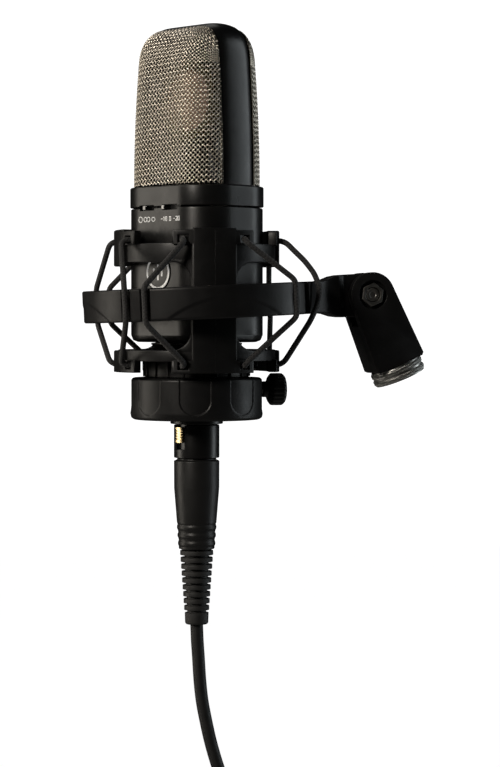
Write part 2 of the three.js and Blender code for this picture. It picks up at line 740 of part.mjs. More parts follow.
function leadCoil() {
  const { radius, halfThick, halfWide } = COIL;
  const chamfer = 3;
  const outline = [
    [radius - halfThick, -halfWide + chamfer], [radius - halfThick + chamfer, -halfWide],
    [radius + halfThick - chamfer, -halfWide], [radius + halfThick, -halfWide + chamfer],
    [radius + halfThick, halfWide - chamfer], [radius + halfThick - chamfer, halfWide],
    [radius - halfThick + chamfer, halfWide], [radius - halfThick, halfWide - chamfer],
  ];
  return along(turned(outline, 30));
}

// The tie is a strap round the bundle, across its outer side.
function leadTie() {
  const strap = (space) =>
    roundedOutline([COIL.halfThick + space, COIL.halfWide + space, 3.5]);
  return cut(upright(strap(1.5), -3.5, 3.5, 4), upright(strap(0.5), -5, 5, 4));
}

const farRelief = () => {
  const { top, reliefBottom } = FAR_PLUG;
  return turned([
    [LEAD.radius + 0.35, top], [5.0, top], [7.4, reliefBottom + GAP],
    [LEAD.radius + 0.35, reliefBottom + GAP],
  ], 24);
};

const farGrip = () => tube(8.9, 6.6, FAR_PLUG.gripBottom + GAP, FAR_PLUG.reliefBottom, 28);

const farShell = () => tube(9.5, 8.2, FAR_PLUG.shellBottom, FAR_PLUG.gripBottom, 32);

function farInsert() {
  const disc = rod(7.9, FAR_PLUG.gripBottom - 6, FAR_PLUG.gripBottom - 2, 28);
  const pins = PIN_ANGLES.map((angle) =>
    rod(PIN.radius, FAR_PLUG.shellBottom + 2, FAR_PLUG.gripBottom - 4, 12)
      .translate(pinAt(angle - LEAD_LEAN)));
  return join(disc, ...pins);
}

// ---------------------------------------------------------------- assembly

const m = MATERIALS;
const model = new THREE.Group();

// The swivel leans; its own Z points up from the thread's mouth to the pivot.
const swivel = new THREE.Group();
swivel.rotation.y = -SWIVEL.lean * RADIAN;
swivel.position.set(0, 0, SWIVEL.mouth).applyAxisAngle(
  new THREE.Vector3(0, 1, 0), swivel.rotation.y,
);
swivel.add(
  mesh('thread_collar', threadCollar(), m.steel),
  mesh('collar_circlip', circlip(), m.steel),
  mesh('swivel_clevis', swivelClevis(), m.mouldedBlack),
  mesh('pivot_nut', pivotNut(), m.steel),
  mesh('tilt_bolt', tiltBolt(), m.steel),
  mesh('tilt_knob', along(tiltKnob()).rotate([0, 0, 180]), m.mouldedBlack),
  mesh('friction_washer_front', frictionWasher(-1), m.rubber),
  mesh('friction_washer_rear', frictionWasher(1), m.rubber),
);
model.add(swivel);

// Everything that hangs is placed from the middle of the ring.
const hung = new THREE.Group();
const pivot = new THREE.Vector3(ARM.reach, 0, 0)
  .applyAxisAngle(new THREE.Vector3(0, 1, 0), -ARM.tilt * RADIAN);
hung.position.copy(swivel.position).sub(pivot);
model.add(hung);

hung.add(mesh('yoke_ring', yokeRing(), m.mouldedBlack, (ring) => {
  ring.rotation.y = -ARM.tilt * RADIAN;
}));

const PILLARS = { arm: 0, rear: 90, outer: 180, front: 270 };
for (const [pillarName, angle] of Object.entries(PILLARS)) {
  for (const [sideName, side] of [['left', -1], ['right', 1]]) {
    const slack = pillarName === 'arm' && side < 0;
    hung.add(mesh(`elastic_${pillarName}_${sideName}`, elastic(angle, side, slack), m.elastic));
  }
}

hung.add(
  mesh('cage_basket', cageBasket(), m.mouldedBlack),
  mesh('base_cup', baseCup(), m.mouldedBlack),
  mesh('clamp_liner', clampLiner(), m.rubber),
  mesh('clamp_screw', clampScrew(), m.steel),
  mesh('clamp_knob', clampKnob(), m.mouldedBlack),
);
CUP_SCREW_ANGLES.forEach((angle, i) => {
  hung.add(mesh(`cup_screw_${i + 1}`, cupScrew(angle), m.steel));
});

// The microphone faces -Y in its own group, which is turned in the clamp.
const mic = new THREE.Group();
mic.rotation.z = FRONT_ANGLE * RADIAN;
hung.add(mic);
mic.add(
  mesh('grille_front', grille(-1), m.mesh),
  mesh('grille_rear', grille(1), m.mesh),
  mesh('head_hoop', headHoop(), m.satinBlack),
  mesh('inner_screen', innerScreen(), m.mesh),
  mesh('capsule_body', capsulePiece(rod(CAPSULE.radius, -CAPSULE.half, CAPSULE.half)), m.brass),
  mesh('capsule_ring_front', capsuleRing(1), m.brass),
  mesh('capsule_ring_rear', capsuleRing(-1), m.brass),
  mesh('diaphragm_front', diaphragm(1), m.gold),
  mesh('diaphragm_rear', diaphragm(-1), m.gold),
  mesh('capsule_saddle', capsuleSaddle(), m.mouldedBlack),
  mesh('capsule_deck', capsuleDeck(), m.satinBlack),
  mesh('neck_collar', neckCollar(), m.satinBlack),
  mesh('body_housing', bodyHousing(), m.satinBlack),
  mesh('badge_plate', badgePlate(), m.badge),
  mesh('pattern_switch', switchKnob(SWITCH.knob[0]), m.nickel),
  mesh('pad_switch', switchKnob(SWITCH.knob[1]), m.nickel),
  mesh('circuit_board', circuitBoard(), m.board),
  mesh('output_transformer', outputTransformer(), m.steel),
  mesh('mic_foot', micFoot(), m.satinBlack),
  mesh('foot_insert', footInsert(), m.mouldedBlack),
  mesh('plug_shell', plugShell(), m.satinBlack),
  mesh('plug_latch', plugLatch(), m.gold),
  mesh('plug_insert', plugInsert(), m.mouldedBlack),
  mesh('plug_grip', plugGrip(), m.mouldedBlack),
  mesh('plug_relief', plugRelief(), m.rubber),
);
PIN_ANGLES.forEach((angle, i) => {
  mic.add(mesh(`contact_pin_${i + 1}`, contactPin(angle), m.gold));
});

const atLead = (across, height, back) => (item) => {
  const turn = LEAD_LEAN * RADIAN;
  item.position.set(across, back, 0).applyAxisAngle(new THREE.Vector3(0, 0, 1), turn);
  item.position.z = PLUG.end + height;
  item.rotation.z = turn;
};
const atTail = atLead(TAIL.across, 0, TAIL.back);
hung.add(
  mesh('lead_run', leadRun(), m.cable),
  mesh('lead_coil', leadCoil(), m.cable, atLead(COIL.across, COIL.height, COIL.back)),
  mesh('lead_tie', leadTie(), m.rubber,
    atLead(COIL.across - COIL.radius, COIL.height, COIL.back)),
  mesh('lead_tail', leadTail(), m.cable, atTail),
  mesh('far_plug_relief', farRelief(), m.rubber, atTail),
  mesh('far_plug_grip', farGrip(), m.mouldedBlack, atTail),
  mesh('far_plug_shell', farShell(), m.satinBlack, atTail),
  mesh('far_plug_insert', farInsert(), m.mouldedBlack, atTail),
);

export default model;
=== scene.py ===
"""The looks of a side-address condenser microphone in its elastic ring mount.

Shapes are written in millimetres, in the same places that the CAD model uses: the hanging pieces
from the middle of the ring on the microphone's axis, and the swivel from its pivot. Each piece is
built there and then placed in the row frame, in metres.
"""

import contextlib
import math

import bmesh
import bpy
import numpy as np
from mathutils import Matrix, Vector


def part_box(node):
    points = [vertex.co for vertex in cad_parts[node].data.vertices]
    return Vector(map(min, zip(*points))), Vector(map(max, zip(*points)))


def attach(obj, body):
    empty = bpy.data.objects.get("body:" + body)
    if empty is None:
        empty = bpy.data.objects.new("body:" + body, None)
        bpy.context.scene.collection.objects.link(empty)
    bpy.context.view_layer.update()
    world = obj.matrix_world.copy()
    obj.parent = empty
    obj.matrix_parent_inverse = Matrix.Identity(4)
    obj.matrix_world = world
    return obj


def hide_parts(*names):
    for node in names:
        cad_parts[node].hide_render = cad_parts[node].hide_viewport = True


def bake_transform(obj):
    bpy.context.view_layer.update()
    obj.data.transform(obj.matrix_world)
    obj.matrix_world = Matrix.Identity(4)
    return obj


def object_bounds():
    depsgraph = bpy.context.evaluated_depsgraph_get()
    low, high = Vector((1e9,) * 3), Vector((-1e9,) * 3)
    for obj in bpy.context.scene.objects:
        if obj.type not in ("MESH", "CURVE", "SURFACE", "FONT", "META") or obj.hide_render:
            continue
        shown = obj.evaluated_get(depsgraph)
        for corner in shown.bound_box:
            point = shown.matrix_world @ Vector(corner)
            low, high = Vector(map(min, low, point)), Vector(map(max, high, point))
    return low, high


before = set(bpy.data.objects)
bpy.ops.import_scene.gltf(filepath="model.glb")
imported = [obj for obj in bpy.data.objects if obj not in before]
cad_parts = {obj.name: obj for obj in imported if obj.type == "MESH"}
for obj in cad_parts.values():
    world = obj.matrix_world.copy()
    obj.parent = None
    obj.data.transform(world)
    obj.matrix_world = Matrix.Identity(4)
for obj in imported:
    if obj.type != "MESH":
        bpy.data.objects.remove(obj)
CAD_LOW, CAD_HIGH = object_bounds()

# ---------------------------------------------------------------- places

MM = 0.001
FRONT_TURN = math.radians(-60)  # the microphone's turn in its clamp
RING_TILT = math.radians(-2.6)  # the ring's and arm's tilt
SWIVEL_LEAN = math.radians(-23)
LEAD_TURN = math.radians(-14)  # the upright plane that the lead lies in
PIVOT_TO_MOUTH = 38.6
CUP_BOTTOM = -49.2
LEAD_EXIT = -135.6  # height of the lead's exit from its strain relief

cup_low, cup_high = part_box("base_cup")
AXIS_X = (cup_low.x + cup_high.x) / 2
RING_Z = cup_low.z - CUP_BOTTOM * MM


def added(name, data):
    """A new object in the scene that holds this data."""
    obj = bpy.data.objects.new(name, data)
    bpy.context.scene.collection.objects.link(obj)
    return obj


def turn_z(angle):
    return Matrix.Rotation(angle, 4, "Z")


HUNG = Matrix.Translation((AXIS_X, 0, RING_Z)) @ Matrix.Scale(MM, 4)
MIC = HUNG @ turn_z(FRONT_TURN)
RING = HUNG @ Matrix.Rotation(RING_TILT, 4, "Y")
SWIVEL = (
    Matrix.Rotation(SWIVEL_LEAN, 4, "Y")
    @ Matrix.Translation((0, 0, PIVOT_TO_MOUTH * MM))
    @ Matrix.Scale(MM, 4)
)
LEAD = HUNG @ turn_z(LEAD_TURN) @ Matrix.Translation((0, 0, LEAD_EXIT))

# ---------------------------------------------------------------- camera

CAMERA_TURN = math.radians(-14)
CAMERA_DISTANCE = 0.998
CAMERA_ASIDE = 0.0225  # the picture's middle lies to the right of the microphone
HORIZON_DROP = 0.007  # the lens is a little below the ring
FOCAL_LENGTH = 111  # in millimetres, on a sensor 36 wide
LENS_SHIFT = -0.084


def make_camera():
    data = bpy.data.cameras.new("camera")
    data.sensor_fit = "AUTO"
    data.sensor_width = 36
    data.lens = FOCAL_LENGTH
    data.shift_y = LENS_SHIFT
    data.clip_start = 0.05
    camera = added("camera", data)
    back = Vector((math.sin(CAMERA_TURN), -math.cos(CAMERA_TURN), 0))
    right = Vector((math.cos(CAMERA_TURN), math.sin(CAMERA_TURN), 0))
    middle = Vector((AXIS_X, 0, RING_Z - HORIZON_DROP))
    camera.location = middle + right * CAMERA_ASIDE + back * CAMERA_DISTANCE
    camera.rotation_mode = "QUATERNION"
    camera.rotation_quaternion = (-back).to_track_quat("-Z", "Y")
    bpy.context.scene.camera = camera


make_camera()

# ---------------------------------------------------------------- material kit


class Nodes:
    """Short names for building one material's node tree."""

    def __init__(self, name):
        self.material = bpy.data.materials.new(name)
        self.material.use_nodes = True
        self.tree = self.material.node_tree
        self.shader = self.tree.nodes["Principled BSDF"]
        self.point = self.add("ShaderNodeTexCoord").outputs["Object"]

    def add(self, kind, **values):
        node = self.tree.nodes.new(kind)
        for key, value in values.items():
            if key.startswith("in_"):
                node.inputs[key[3:].replace("_", " ")].default_value = value
            else:
                setattr(node, key, value)
        return node

    def link(self, a, b):
        self.tree.links.new(a, b)

    def noise(self, scale, detail=4, roughness=0.55):
        node = self.add("ShaderNodeTexNoise", in_Scale=scale, in_Detail=detail)
        node.inputs["Roughness"].default_value = roughness
        self.link(self.point, node.inputs["Vector"])
        return node.outputs["Fac"]

    def ramp(self, value, stops):
        node = self.add("ShaderNodeValToRGB")
        elements = node.color_ramp.elements
        while len(elements) < len(stops):
            elements.new(0.5)
        for element, (place, color) in zip(elements, stops):
            element.position = place
            element.color = color if len(color) == 4 else (*color, 1)
        self.link(value, node.inputs["Fac"])
        return node.outputs["Color"]

    def spread(self, value, low, high, start=0.0, end=1.0):
        node = self.add("ShaderNodeMapRange")
        node.inputs["From Min"].default_value = start
        node.inputs["From Max"].default_value = end
        node.inputs["To Min"].default_value = low
        node.inputs["To Max"].default_value = high
        self.link(value, node.inputs["Value"])
        return node.outputs["Result"]

    def maths(self, operation, a, b=None):
        node = self.add("ShaderNodeMath", operation=operation)
        for socket, value in zip(node.inputs, (a, b)):
            if value is None:
                continue
            if isinstance(value, (int, float)):
                socket.default_value = value
            else:
                self.link(value, socket)
        return node.outputs["Value"]

    def blend(self, factor, a, b):
        node = self.add("ShaderNodeMix", data_type="RGBA")
        self.link(factor, node.inputs["Factor"])
        for socket, value in ((node.inputs["A"], a), (node.inputs["B"], b)):
            if isinstance(value, tuple):
                socket.default_value = (*value, 1)
            else:
                self.link(value, socket)
        return node.outputs["Result"]

    def parts_of(self, vector):
        node = self.add("ShaderNodeSeparateXYZ")
        self.link(vector, node.inputs["Vector"])
        return node.outputs

    def bump(self, height, strength, distance):
        node = self.add("ShaderNodeBump", in_Strength=strength, in_Distance=distance)
        self.link(height, node.inputs["Height"])
        self.link(node.outputs["Normal"], self.shader.inputs["Normal"])

    def color(self, value):
        self.link(value, self.shader.inputs["Base Color"])

    def rough(self, value):
        self.link(value, self.shader.inputs["Roughness"])

    def fix(self, **values):
        for key, value in values.items():
            self.shader.inputs[key.replace("_", " ")].default_value = value


def worn_edges(n, amount):
    """1 on convex edges and 0 elsewhere, broken up by noise."""
    pointed = n.add("ShaderNodeNewGeometry").outputs["Pointiness"]
    edge = n.spread(pointed, 0, 1, 0.52, 0.60)
    broken = n.spread(n.noise(900, 3), 0, amount, 0.45, 0.7)
    return n.maths("MULTIPLY", edge, broken)


def satin_paint(name, dark, light, low_rough, high_rough, shine=0.42):
    """Black powder coat or anodising: a fine grain, faint clouding and a few rubbed edges."""
    n = Nodes(name)
    cloud = n.noise(60, 5)
    base = n.ramp(cloud, [(0.3, dark), (0.75, light)])
    n.color(n.blend(worn_edges(n, 0.35), base, (0.045, 0.045, 0.046)))
    n.rough(n.spread(n.noise(220, 4), low_rough, high_rough, 0.25, 0.8))
    n.bump(n.noise(4200, 2), 0.22, 0.00006)
    n.fix(Metallic=0.0, Specular_IOR_Level=shine)
    return n.material


def moulded(name, dark, light, grain, low_rough=0.34, high_rough=0.48):
    """Glass-filled moulded plastic: a spark-eroded grain and slightly shiny handled places."""
    n = Nodes(name)
    cloud = n.noise(45, 4)
    base = n.ramp(cloud, [(0.3, dark), (0.8, light)])
    n.color(n.blend(worn_edges(n, 0.3), base, (0.035, 0.035, 0.036)))
    n.rough(n.spread(n.noise(130, 5), low_rough, high_rough, 0.3, 0.75))
    n.bump(n.noise(grain, 3, 0.6), 0.35, 0.00008)
    n.fix(Specular_IOR_Level=0.3)
    return n.material


def braided(name, count, pitch):
    """A woven sleeve over elastic: two sets of crossing yarns, from the cord's own UV, with painted
    shade between the yarns.
    """
    n = Nodes(name)
    uv = n.parts_of(n.add("ShaderNodeTexCoord").outputs["UV"])
    along = n.maths("MULTIPLY", uv["X"], 1 / pitch)
    around = n.maths("MULTIPLY", uv["Y"], count)
    one = n.maths("SINE", n.maths("MULTIPLY", n.maths("ADD", along, around), math.tau))
    two = n.maths("SINE", n.maths("MULTIPLY", n.maths("SUBTRACT", along, around), math.tau))
    yarn = n.maths("MAXIMUM", one, two)
    fuzz = n.noise(3000, 3)
    height = n.maths("ADD", yarn, n.maths("MULTIPLY", fuzz, 0.5))
    # painted shade: the colour follows the yarn height, darker in the low places between yarns; the
    # fuzz noise adds random tone
    tone = n.spread(height, 0, 1, -0.4, 1.4)
    n.color(n.ramp(tone, [(0.1, (0.004, 0.004, 0.004)), (0.9, (0.022, 0.022, 0.023))]))
    n.rough(n.spread(fuzz, 0.62, 0.85, 0.3, 0.7))
    n.bump(height, 0.6, 0.00012)
    n.fix(Sheen_Weight=0.15, Sheen_Roughness=0.5)
    return n.material


def metal(name, dark, light, low_rough, high_rough, **fixed):
    """Turned or drawn metal: a slight tone change, handling marks and fine scratches."""
    n = Nodes(name)
    n.color(n.ramp(n.noise(90, 5), [(0.3, dark), (0.75, light)]))
    n.rough(n.spread(n.noise(700, 5), low_rough, high_rough, 0.3, 0.75))
    scratch = n.add("ShaderNodeTexNoise", in_Scale=1.0, in_Detail=3.0)
    stretch = n.add("ShaderNodeMapping")
    stretch.inputs["Scale"].default_value = (400, 400, 6000)
    n.link(n.point, stretch.inputs["Vector"])
    n.link(stretch.outputs["Vector"], scratch.inputs["Vector"])
    n.bump(scratch.outputs["Fac"], 0.12, 0.00004)
    n.fix(**{"Metallic": 1.0, **fixed})
    return n.material


def recess_shaded_wire(name, dark, light):
    """Woven wire: bright where it stands out of the cloth (U of its UV), with painted shade darkening
    it in the recesses.
    """
    n = Nodes(name)
    uv = n.parts_of(n.add("ShaderNodeTexCoord").outputs["UV"])
    bright = n.ramp(n.noise(60, 4), [(0.3, dark), (0.75, light)])
    # painted shade: the wire's colour is blended toward near black where its lift is low, in the
    # weave's recesses
    n.color(n.blend(n.spread(uv["X"], 0, 1, 0.52, 0.86), (0.02, 0.014, 0.012), bright))
    n.rough(n.spread(n.noise(120, 3), 0.3, 0.38, 0.3, 0.75))
    n.fix(Metallic=1.0)
    return n.material


def rubber(name, dark, light, grain=2600):
    n = Nodes(name)
    n.color(n.ramp(n.noise(70, 5), [(0.3, dark), (0.8, light)]))
    n.rough(n.spread(n.noise(160, 4), 0.5, 0.72, 0.3, 0.7))
    n.bump(n.noise(grain, 2), 0.25, 0.00007)
    return n.material


def fine_screen(name):
    """A very fine dark woven screen that lets about half of what is behind it through."""
    n = Nodes(name)
    spot = n.parts_of(n.point)
    holes = []
    for axis in ("X", "Y", "Z"):
        wave = n.maths("SINE", n.maths("MULTIPLY", spot[axis], math.tau / 0.0007))
        holes.append(n.maths("ABSOLUTE", wave))
    weave = n.maths("MULTIPLY", n.maths("MULTIPLY", holes[0], holes[2]), 1.2)
    n.color(n.ramp(n.noise(300, 3), [(0.3, (0.006, 0.0045, 0.004)), (0.7, (0.013, 0.010, 0.009))]))
    n.rough(n.spread(n.noise(500, 3), 0.35, 0.5, 0.3, 0.7))
    n.link(n.spread(weave, 0.95, 0.6), n.shader.inputs["Alpha"])
    n.fix(Metallic=0.8)
    return n.material


def glowing_capsule_film(name):
    """Gold evaporated on film: bright, nearly mirror smooth, with faint ripples, and a faint warm
    painted glow.
    """
    n = Nodes(name)
    n.color(n.ramp(n.noise(120, 3), [(0.3, (0.78, 0.52, 0.22)), (0.7, (0.9, 0.66, 0.34))]))
    n.rough(n.spread(n.noise(400, 3), 0.16, 0.3, 0.3, 0.7))
    n.bump(n.noise(160, 2), 0.1, 0.0002)
    # painted light: the film glows warm (emission), though it is no lamp
    n.fix(Metallic=1.0, Emission_Color=(1.0, 0.6, 0.42, 1), Emission_Strength=0.6)
    return n.material


BODY_PAINT = satin_paint("body_paint", (0.005, 0.005, 0.0052), (0.008, 0.008, 0.008), 0.27, 0.36)
HOOP_PAINT = satin_paint(
    "hoop_paint", (0.004, 0.004, 0.0042), (0.006, 0.006, 0.006), 0.27, 0.35, shine=0.45
)
CAGE_PLASTIC = moulded("cage_plastic", (0.006, 0.006, 0.0062), (0.010, 0.010, 0.0102), 2200)
ARM_PLASTIC = moulded("arm_plastic", (0.006, 0.006, 0.0063), (0.010, 0.010, 0.0103), 1700)
KNOB_PLASTIC = moulded("knob_plastic", (0.007, 0.007, 0.007), (0.013, 0.013, 0.013), 2600)
INSERT_PLASTIC = moulded("insert_plastic", (0.008, 0.008, 0.008), (0.015, 0.015, 0.015), 3000)
ELASTIC_BRAID = braided("elastic_braid", 4, 1.5)
GRILLE_WIRE = recess_shaded_wire("grille_wire", (0.93, 0.84, 0.71), (1.0, 0.93, 0.82))
# painted shade: the cloth rim is coloured dark to stand for the thin shadow where the wire cloth meets
# the hoop
CLOTH_RIM_SHADE = metal("cloth_rim", (0.10, 0.088, 0.07), (0.16, 0.145, 0.12), 0.35, 0.5)
DARK_CHROME = metal("dark_chrome", (0.12, 0.12, 0.12), (0.2, 0.2, 0.2), 0.1, 0.2)
GREY_STEEL = metal("grey_steel", (0.30, 0.30, 0.29), (0.46, 0.46, 0.44), 0.28, 0.45)
DULL_STEEL = metal("dull_steel", (0.16, 0.155, 0.145), (0.24, 0.235, 0.22), 0.36, 0.55)
BRASS = metal("brass", (0.55, 0.38, 0.16), (0.72, 0.52, 0.25), 0.22, 0.38)
GOLD = metal("gold", (0.86, 0.66, 0.34), (0.95, 0.78, 0.46), 0.18, 0.3)
BRIGHT = metal("bright_plate", (0.72, 0.71, 0.68), (0.84, 0.83, 0.80), 0.12, 0.24)
# painted light: the white print glows a little (emission) so that it reads bright whatever the lamps
# do
GLOWING_WHITE_INK = metal(
    "white_ink", (0.80, 0.80, 0.78), (0.90, 0.90, 0.88), 0.45, 0.6,
    Metallic=0.0, Emission_Color=(1, 1, 0.97, 1), Emission_Strength=0.16
)
BOARD_GREEN = moulded("board_green", (0.01, 0.07, 0.03), (0.02, 0.12, 0.05), 1500)
BLACK_RUBBER = rubber("black_rubber", (0.010, 0.010, 0.010), (0.018, 0.018, 0.018))
GRIP_PLASTIC = moulded("grip_plastic", (0.012, 0.012, 0.012), (0.020, 0.020, 0.020), 2000)
JACKET = rubber("cable_jacket", (0.002, 0.002, 0.0023), (0.004, 0.004, 0.0045), 1800)
SCREEN = fine_screen("inner_screen_weave")
GLOWING_FILM = glowing_capsule_film("diaphragm_gold")

# ---------------------------------------------------------------- mesh kit


def reached(path):
    """How far along a path each of its points lies."""
    return np.concatenate([[0], np.cumsum(np.linalg.norm(np.diff(path, axis=0), axis=1))])


def unit(vectors):
    return vectors / np.maximum(np.linalg.norm(vectors, axis=-1), 1e-9)[..., None]


def wheel(radius, turns, height):
    """Points at a radius and height, turned about the upright axis."""
    return np.stack([radius * np.cos(turns), radius * np.sin(turns), height + 0 * turns], axis=-1)


def eased(share):
    """From 0 to 1 with a gentle start and end."""
    share = min(1.0, max(0.0, share))
    return share * share * (3 - 2 * share)


def divided(line, pieces):
    """A line with each stretch cut into as many equal parts as pieces(its two ends) says."""
    out = []
    for (r0, z0), (r1, z1) in zip(line, line[1:]):
        count = pieces(r0, z0, r1, z1)
        out += [(r0 + (r1 - r0) * k / count, z0 + (z1 - z0) * k / count) for k in range(count)]
    return out


@contextlib.contextmanager
def edited(mesh):
    """The mesh opened for editing, and written back afterwards."""
    bm = bmesh.new()
    bm.from_mesh(mesh)
    yield bm
    bm.to_mesh(mesh)
    bm.free()


def raw(name, points, faces):
    """A new mesh object, in millimetres, with its faces pointing out."""
    mesh = bpy.data.meshes.new(name)
    mesh.from_pydata([tuple(p) for p in points], [], faces)
    with edited(mesh) as bm:
        bmesh.ops.remove_doubles(bm, verts=bm.verts, dist=1e-4)
        bmesh.ops.recalc_face_normals(bm, faces=bm.faces)
    return added(name, mesh)


def smooth(obj, angle=32):
    """Smooth shading, with edges sharper than angle kept crisp."""
    limit = math.radians(angle)
    with edited(obj.data) as bm:
        for face in bm.faces:
            face.smooth = True
        for edge in bm.edges:
            edge.smooth = len(edge.link_faces) == 2 and edge.calc_face_angle(0) < limit


def grid_faces(rows, columns, close_rows, close_columns):
    faces = []
    for i in range(rows if close_rows else rows - 1):
        for j in range(columns if close_columns else columns - 1):
            a, b = i, (i + 1) % rows
            c, d = j, (j + 1) % columns
            faces.append(
                (a * columns + c, a * columns + d, b * columns + d, b * columns + c)
            )
    return faces


def lattice(name, grid, close_rows=False, close_columns=True, caps=False):
    """A surface through a rows by columns array of points."""
    rows, columns = grid.shape[:2]
    faces = grid_faces(rows, columns, close_rows, close_columns)
    if caps:
        faces.append(tuple(range(columns - 1, -1, -1)))
        faces.append(tuple((rows - 1) * columns + k for k in range(columns)))
    return raw(name, grid.reshape(-1, 3), faces)


def rounded(outline, radius, steps=4, closed=True):
    """The outline with its corners rounded by short curves."""
    points = [np.array(p, float) for p in outline]
    count = len(points)
    out = []
    for i, p in enumerate(points):
        if not closed and i in (0, count - 1):
            out.append(p)
            continue
        before, after = points[i - 1], points[(i + 1) % count]
        back, ahead = before - p, after - p
        r = radius if len(outline[i]) == 2 else outline[i][2]
        reach = min(r, 0.46 * np.linalg.norm(back), 0.46 * np.linalg.norm(ahead))
        first = p + back / np.linalg.norm(back) * reach
        last = p + ahead / np.linalg.norm(ahead) * reach
        for k in range(steps + 1):
            t = k / steps
            out.append((1 - t) ** 2 * first + 2 * t * (1 - t) * p + t * t * last)
    return [tuple(q[:2]) for q in out]


def revolve(name, outline, steps=96, radius=0.35, closed=True, start=0.0, sweep=360.0):
    """An outline of (radius, height) points turned about the upright axis."""
    line = rounded(outline, radius, 3, closed) if radius else outline
    whole = abs(sweep - 360) < 1e-6
    turns = np.radians(start + sweep * np.arange(steps + (0 if whole else 1)) / steps)
    r, z = np.array([p[:2] for p in line]).T[..., None]
    grid = wheel(r, turns, z)
    faces = grid_faces(len(line), len(turns), closed, whole)
    if not whole:
        columns = len(turns)
        faces.append(tuple(i * columns for i in range(len(line))))
        faces.append(tuple((i + 1) * columns - 1 for i in reversed(range(len(line)))))
    return raw(name, grid.reshape(-1, 3), faces)


def corner_outline(half, inset, arc_steps=20, side_steps=4):
    """Points round a rectangle with round corners, shrunk by an inset."""
    width, depth, corner = (value - inset for value in half)
    corner = max(corner, 0.05)
    points = []
    signs = ((1, 1), (-1, 1), (-1, -1), (1, -1))
    centres = [np.array(sign) * (width - corner, depth - corner) for sign in signs]
    for quarter, centre in enumerate(centres):
        angle = quarter * math.pi / 2
        for k in range(arc_steps + 1):
            a = angle + math.pi / 2 * k / arc_steps
            points.append(centre + corner * np.array([math.cos(a), math.sin(a)]))
        a = angle + math.pi / 2
        last = points[-1]
        target = centres[(quarter + 1) % 4] + corner * np.array([math.cos(a), math.sin(a)])
        for k in range(1, side_steps):
            points.append(last + (target - last) * k / side_steps)
    return points


def outline_loft(name, half, profile, radius=0.3, closed=True, caps=False):
    """A profile of (inset, height) points carried round a rounded rectangle."""
    line = rounded(profile, radius, 3, closed) if radius else profile
    grid = np.array(
        [[(x, y, z) for x, y in corner_outline(half, inset)] for inset, z in line]
    )
    return lattice(name, grid, close_rows=closed, caps=caps)


def slab(name, outline, low, high):
    """A flat outline in X and Y, pushed up from low to high."""
    count = len(outline)
    points = [(x, y, low) for x, y in outline] + [(x, y, high) for x, y in outline]
    faces = [tuple(reversed(range(count))), tuple(range(count, 2 * count))]
    faces += [(i, (i + 1) % count, count + (i + 1) % count, count + i) for i in range(count)]
    return raw(name, points, faces)


def block(name, low, high):
    (x0, y0, z0), (x1, y1, z1) = low, high
    return slab(name, [(x0, y0), (x1, y0), (x1, y1), (x0, y1)], z0, z1)


def disc(radius, count=48, x=0.0, y=0.0):
    return [
        (x + radius * math.cos(math.tau * k / count), y + radius * math.sin(math.tau * k / count))
        for k in range(count)
    ]


def arc(x, y, radius, start, sweep, steps):
    angles = [start + sweep * k / steps for k in range(steps + 1)]
    return [(x + radius * math.cos(a), y + radius * math.sin(a)) for a in angles]


def moved(obj, matrix):
    obj.data.transform(matrix)
    if matrix.determinant() < 0:
        obj.data.flip_normals()
    return obj


def lay_along_y(obj):
    """An upright piece laid so that its +Z points along -Y."""
    return moved(obj, Matrix.Rotation(math.radians(90), 4, "X"))


def apply_modifiers(obj):
    graph = bpy.context.evaluated_depsgraph_get()
    mesh = bpy.data.meshes.new_from_object(obj.evaluated_get(graph))
    obj.modifiers.clear()
    old = obj.data
    obj.data = mesh
    bpy.data.meshes.remove(old)
    return obj


def combine(obj, tool, operation="DIFFERENCE"):
    modifier = obj.modifiers.new("join", "BOOLEAN")
    modifier.operation = operation
    modifier.solver = "EXACT"
    modifier.object = tool
    apply_modifiers(obj)
    bpy.data.objects.remove(tool)
    return obj


def soften(obj, width, segments=2, angle=35):
    """Rounds the sharp edges by width."""
    modifier = obj.modifiers.new("edge", "BEVEL")
    modifier.width = width
    modifier.segments = segments
    modifier.limit_method = "ANGLE"
    modifier.angle_limit = math.radians(angle)
    modifier.use_clamp_overlap = True
    return apply_modifiers(obj)


def gather(name, parts):
    """One object that holds all the parts' meshes."""
    bm = bmesh.new()
    for part in parts:
        bm.from_mesh(part.data)
    mesh = bpy.data.meshes.new(name)
    bm.to_mesh(mesh)
    bm.free()
    for part in parts:
        bpy.data.objects.remove(part)
    return added(name, mesh)


def bent(obj, radius, step=1.0):
    """Wraps a flat piece, drawn as sideways, outward and upward, round an upright cylinder."""
    with edited(obj.data) as bm:
        low = min(v.co.x for v in bm.verts)
        high = max(v.co.x for v in bm.verts)
        count = int((high - low) / step)
        for k in range(1, count):
            x = low + (high - low) * k / count
            geometry = bm.verts[:] + bm.edges[:] + bm.faces[:]
            bmesh.ops.bisect_plane(
                bm, geom=geometry, plane_co=(x, 0, 0), plane_no=(1, 0, 0), dist=1e-5
            )
        for v in bm.verts:
            aside, out, height = v.co
            turn = aside / radius
            v.co = ((radius + out) * math.cos(turn), (radius + out) * math.sin(turn), height)
        bmesh.ops.recalc_face_normals(bm, faces=bm.faces)
    return obj


